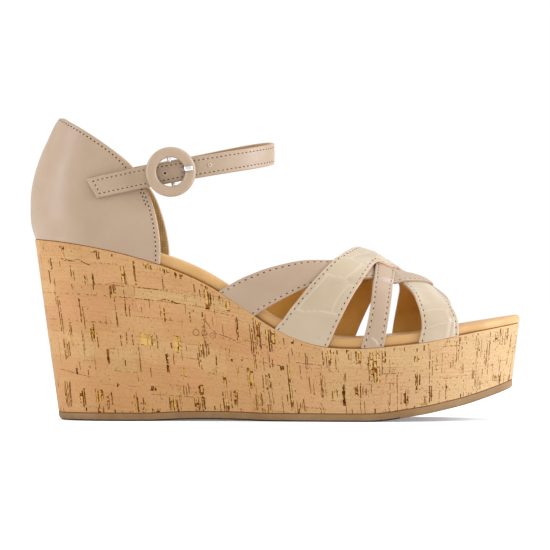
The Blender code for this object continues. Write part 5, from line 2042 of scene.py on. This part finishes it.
# %% [markdown]
# Its two seams run along the edges and meet across the slanted tip. The punched holes are small dark discs
# of painted shade in a raised ring, where the tool pressed the leather up; the ring is paler, a painted
# highlight on its edge.

# %% Ankle strap details
ANKLE_STITCH = 2.35
ANKLE_HOLE = 0.32
TIP_STITCH = 2.2
TIP_HOLE = 0.29
TIP_STEPS = 5
stitches = Stitches([], [], [])
seam_across = 1.0 - ANKLE_SEAM_INSET / (ANKLE_WIDTH / 2.0)
tip_row = next(i for i, length in enumerate(ankle_lengths) if length > ANKLE_SEAM_INSET)
end_place = ankle_lengths[-1] - ANKLE_SEAM_INSET
end_row = next(i for i, length in enumerate(ankle_lengths) if length > end_place)
for side in (-1, 1):
    seam = [ankle_top(i, side * seam_across) for i in range(tip_row, end_row + 1)]
    sew(stitches, seam, ANKLE_STITCH, ANKLE_HOLE)
for row in (tip_row, end_row):
    shares = [seam_across * (k / TIP_STEPS - 1.0) for k in range(2 * TIP_STEPS + 1)]
    sew(stitches, [ankle_top(row, across) for across in shares], TIP_STITCH, TIP_HOLE)
sewn_piece("ankle_stitches", stitches)

Punch = namedtuple("Punch", "along radius")
PUNCHES = (Punch(-54.9, 0.8), Punch(-33.5, 0.5))
PUNCH_RIM = 0.45
PUNCH_RISE = 0.28
PUNCH_SIDES = 24
RIM_SIDES = 8
PUNCH_LIFT = 0.06
PUNCH_FLOOR = 0.85
points = []
faces = []
kinds = []
for punch in PUNCHES:
    row = min(range(ANKLE_ROWS // 2), key=lambda i: abs(ankle_path[i][0].x - punch.along))
    middle, out = ankle_top(row, 0.0)
    run, up = ankle_path[row][1:3]
    radius = punch.radius + PUNCH_RIM / 2.0
    ring = []
    for k in range(PUNCH_SIDES):
        angle = 2.0 * math.pi * k / PUNCH_SIDES
        ring.append(middle + (run * math.cos(angle) + up * math.sin(angle)) * radius)
    section = oval(PUNCH_RISE, PUNCH_RIM, RIM_SIDES)
    new_points, new_faces = swept(ring, [out] * len(ring), section, closed=True)
    # The raised ring takes the pale thread finish, a painted highlight on its edge.
    faces += [tuple(corner + len(points) for corner in around) for around in new_faces]
    kinds += [PALE_KIND] * len(new_faces)
    points += new_points
    # The dark disc in each ring is painted shade of the hole.
    start = len(points)
    points.append(middle + out * PUNCH_LIFT)
    points += [middle + (p - middle) * PUNCH_FLOOR + out * PUNCH_LIFT for p in ring]
    faces += [(start, start + 1 + k, start + 1 + (k + 1) % PUNCH_SIDES) for k in range(PUNCH_SIDES)]
    kinds += [HOLE_KIND] * PUNCH_SIDES
make_piece("punch_rims", points, faces, [thread_and_rim_highlight, painted_hole_shade],
           kinds=kinds, closed=False)

# %% [markdown]
# ## The buckle
# The buckle is a flat ring covered with the same leather, on a steel bar behind the strap; the ring's
# leather is made a little lighter, painted light on the ring. A flat prong turns on the bar, comes up
# through a hole of the strap and rests on the ring. A short tab inside the counter holds the bar. All sit
# on one line that rises towards the toe.

# %% Buckle sizes
BUCKLE_X = -52.3
BUCKLE_Z = 125.2
BUCKLE_SLOPE = 0.18
BAR_TILT = math.atan(BUCKLE_SLOPE)
BAR_UP = Vector((-math.sin(BAR_TILT), 0.0, math.cos(BAR_TILT)))
RING_RADIUS = 9.9
RING_HALF_WIDTH = 2.65
RING_HALF_THICK = 1.7
BAR_RADIUS = 0.9
BAR_REACH = 9.2
BAR_CORNER = 1.4
TAB_WALL = 1.0
PRONG_WALL = 1.0
PRONG_WIDTH = 2.3
STRAP_INNER_Y = ANKLE[5].across
STRAP_OUTER_Y = STRAP_INNER_Y - ANKLE_WALL
RING_Y = STRAP_OUTER_Y - SEAM - RING_HALF_THICK
BAR_Y = STRAP_INNER_Y + SEAM + TAB_WALL + SEAM + BAR_RADIUS
PRONG_TURN = BAR_RADIUS + SEAM + PRONG_WALL / 2.0


def buckle_height(x):
    """Height of the strap's middle near the buckle."""
    return BUCKLE_Z + BUCKLE_SLOPE * (x - BUCKLE_X)


def turn_about_bar(radius, start, stop, count):
    """Plan points of a turn about the buckle's bar, angles from the toe direction."""
    points = []
    for i in range(count + 1):
        angle = math.radians(start + (stop - start) * i / count)
        points.append((BUCKLE_X + radius * math.cos(angle), BAR_Y + radius * math.sin(angle)))
    return points


print("ring is", round(2.0 * (RING_RADIUS + RING_HALF_WIDTH), 1), "mm across")

# %% [markdown]
# The ring is an oval section carried round a circle: wide and flat, and fuller than an ellipse, as leather
# folded over a stiff core is.

# %% Ring
RING_TURNS = 144
RING_SECTION = 28
RING_FULLNESS = 0.82
ring_path = []
ring_ups = []
for i in range(RING_TURNS):
    angle = 2.0 * math.pi * i / RING_TURNS
    outward = Vector((math.cos(angle), 0.0, math.sin(angle)))
    ring_path.append(Vector((BUCKLE_X, RING_Y, BUCKLE_Z)) + outward * RING_RADIUS)
    ring_ups.append(outward)
section = oval(RING_HALF_WIDTH, RING_HALF_THICK, RING_SECTION, RING_FULLNESS)
points, faces = swept(ring_path, ring_ups, section, closed=True)
make_piece("covered_ring", points, faces, [lit_ring_leather], ["buckle_ring"])

# %% [markdown]
# The bar is a steel wire bent like a staple, and the prong a flat strip with rounded edges. Both are
# sections swept along a path; the prong's path starts with its eye round the bar.

# %% Bar and prong
BEND_IN = 0.35
BEND_UP = 0.4
BAR_STEPS = 60
BAR_SECTION = 16
leg_end = RING_Y + RING_HALF_THICK + SEAM - BAR_Y
half_staple = [(leg_end, BAR_REACH), (-BAR_CORNER, BAR_REACH), (-BEND_IN, BAR_REACH - BEND_UP),
               (0.0, BAR_REACH - BAR_CORNER)]
staple = [(depth, -rise) for depth, rise in half_staple] + [(0.0, 0.0)] + half_staple[::-1]
staple_points = [Vector((BUCKLE_X, BAR_Y + depth, BUCKLE_Z)) + BAR_UP * rise for depth, rise in staple]
bar_path = path_through(staple_points, BAR_STEPS)
sideways = Vector((math.cos(BAR_TILT), 0.0, math.sin(BAR_TILT)))
points, faces = swept(bar_path, [sideways] * len(bar_path), oval(BAR_RADIUS, BAR_RADIUS, BAR_SECTION))
make_piece("steel_bar", points, faces, [buckle_steel], ["buckle_bar"])

Reach = namedtuple("Reach", "ahead share")
PRONG_REACH = (
    Reach(2.2, 0.0),
    Reach(3.6, 0.085),
    Reach(5.2, 0.394),
    Reach(6.5, 0.732),
    Reach(7.6, 0.986),
    Reach(9.4, 1.0),
    Reach(10.8, 0.972),
)
EYE_START = -150.0
EYE_STOP = -440.0
EYE_STEPS = 10
PRONG_STEPS = 90
PRONG_SECTION = 20
PRONG_FULLNESS = 0.5
prong_start = BAR_Y - PRONG_TURN
prong_front = RING_Y - RING_HALF_THICK - SEAM - PRONG_WALL / 2.0
plan = turn_about_bar(PRONG_TURN, EYE_START, EYE_STOP, EYE_STEPS)
for reach in PRONG_REACH:
    plan.append((BUCKLE_X + reach.ahead, prong_start + (prong_front - prong_start) * reach.share))
prong_path = path_through([(x, y, buckle_height(x)) for x, y in plan], PRONG_STEPS)
section = oval(PRONG_WIDTH / 2.0, PRONG_WALL / 2.0, PRONG_SECTION, PRONG_FULLNESS)
points, faces = swept(prong_path, [BAR_UP] * len(prong_path), section)
make_piece("steel_prong", points, faces, [buckle_steel], ["buckle_prong"])

# %% [markdown]
# The tab is hardly seen: it keeps the shape of its solid and only gets leather.

# %% Tab
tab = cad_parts["buckle_tab"]
tab.data.materials.clear()
tab.data.materials.append(strap_lining)
print("tab keeps its solid")

# %% [markdown]
# ## Sizes
# We print the size of the dressed sandal's box.

# %% Finish
low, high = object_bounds()
print("dressed sandal in millimetres:", [round(side * 1000, 1) for side in high - low])
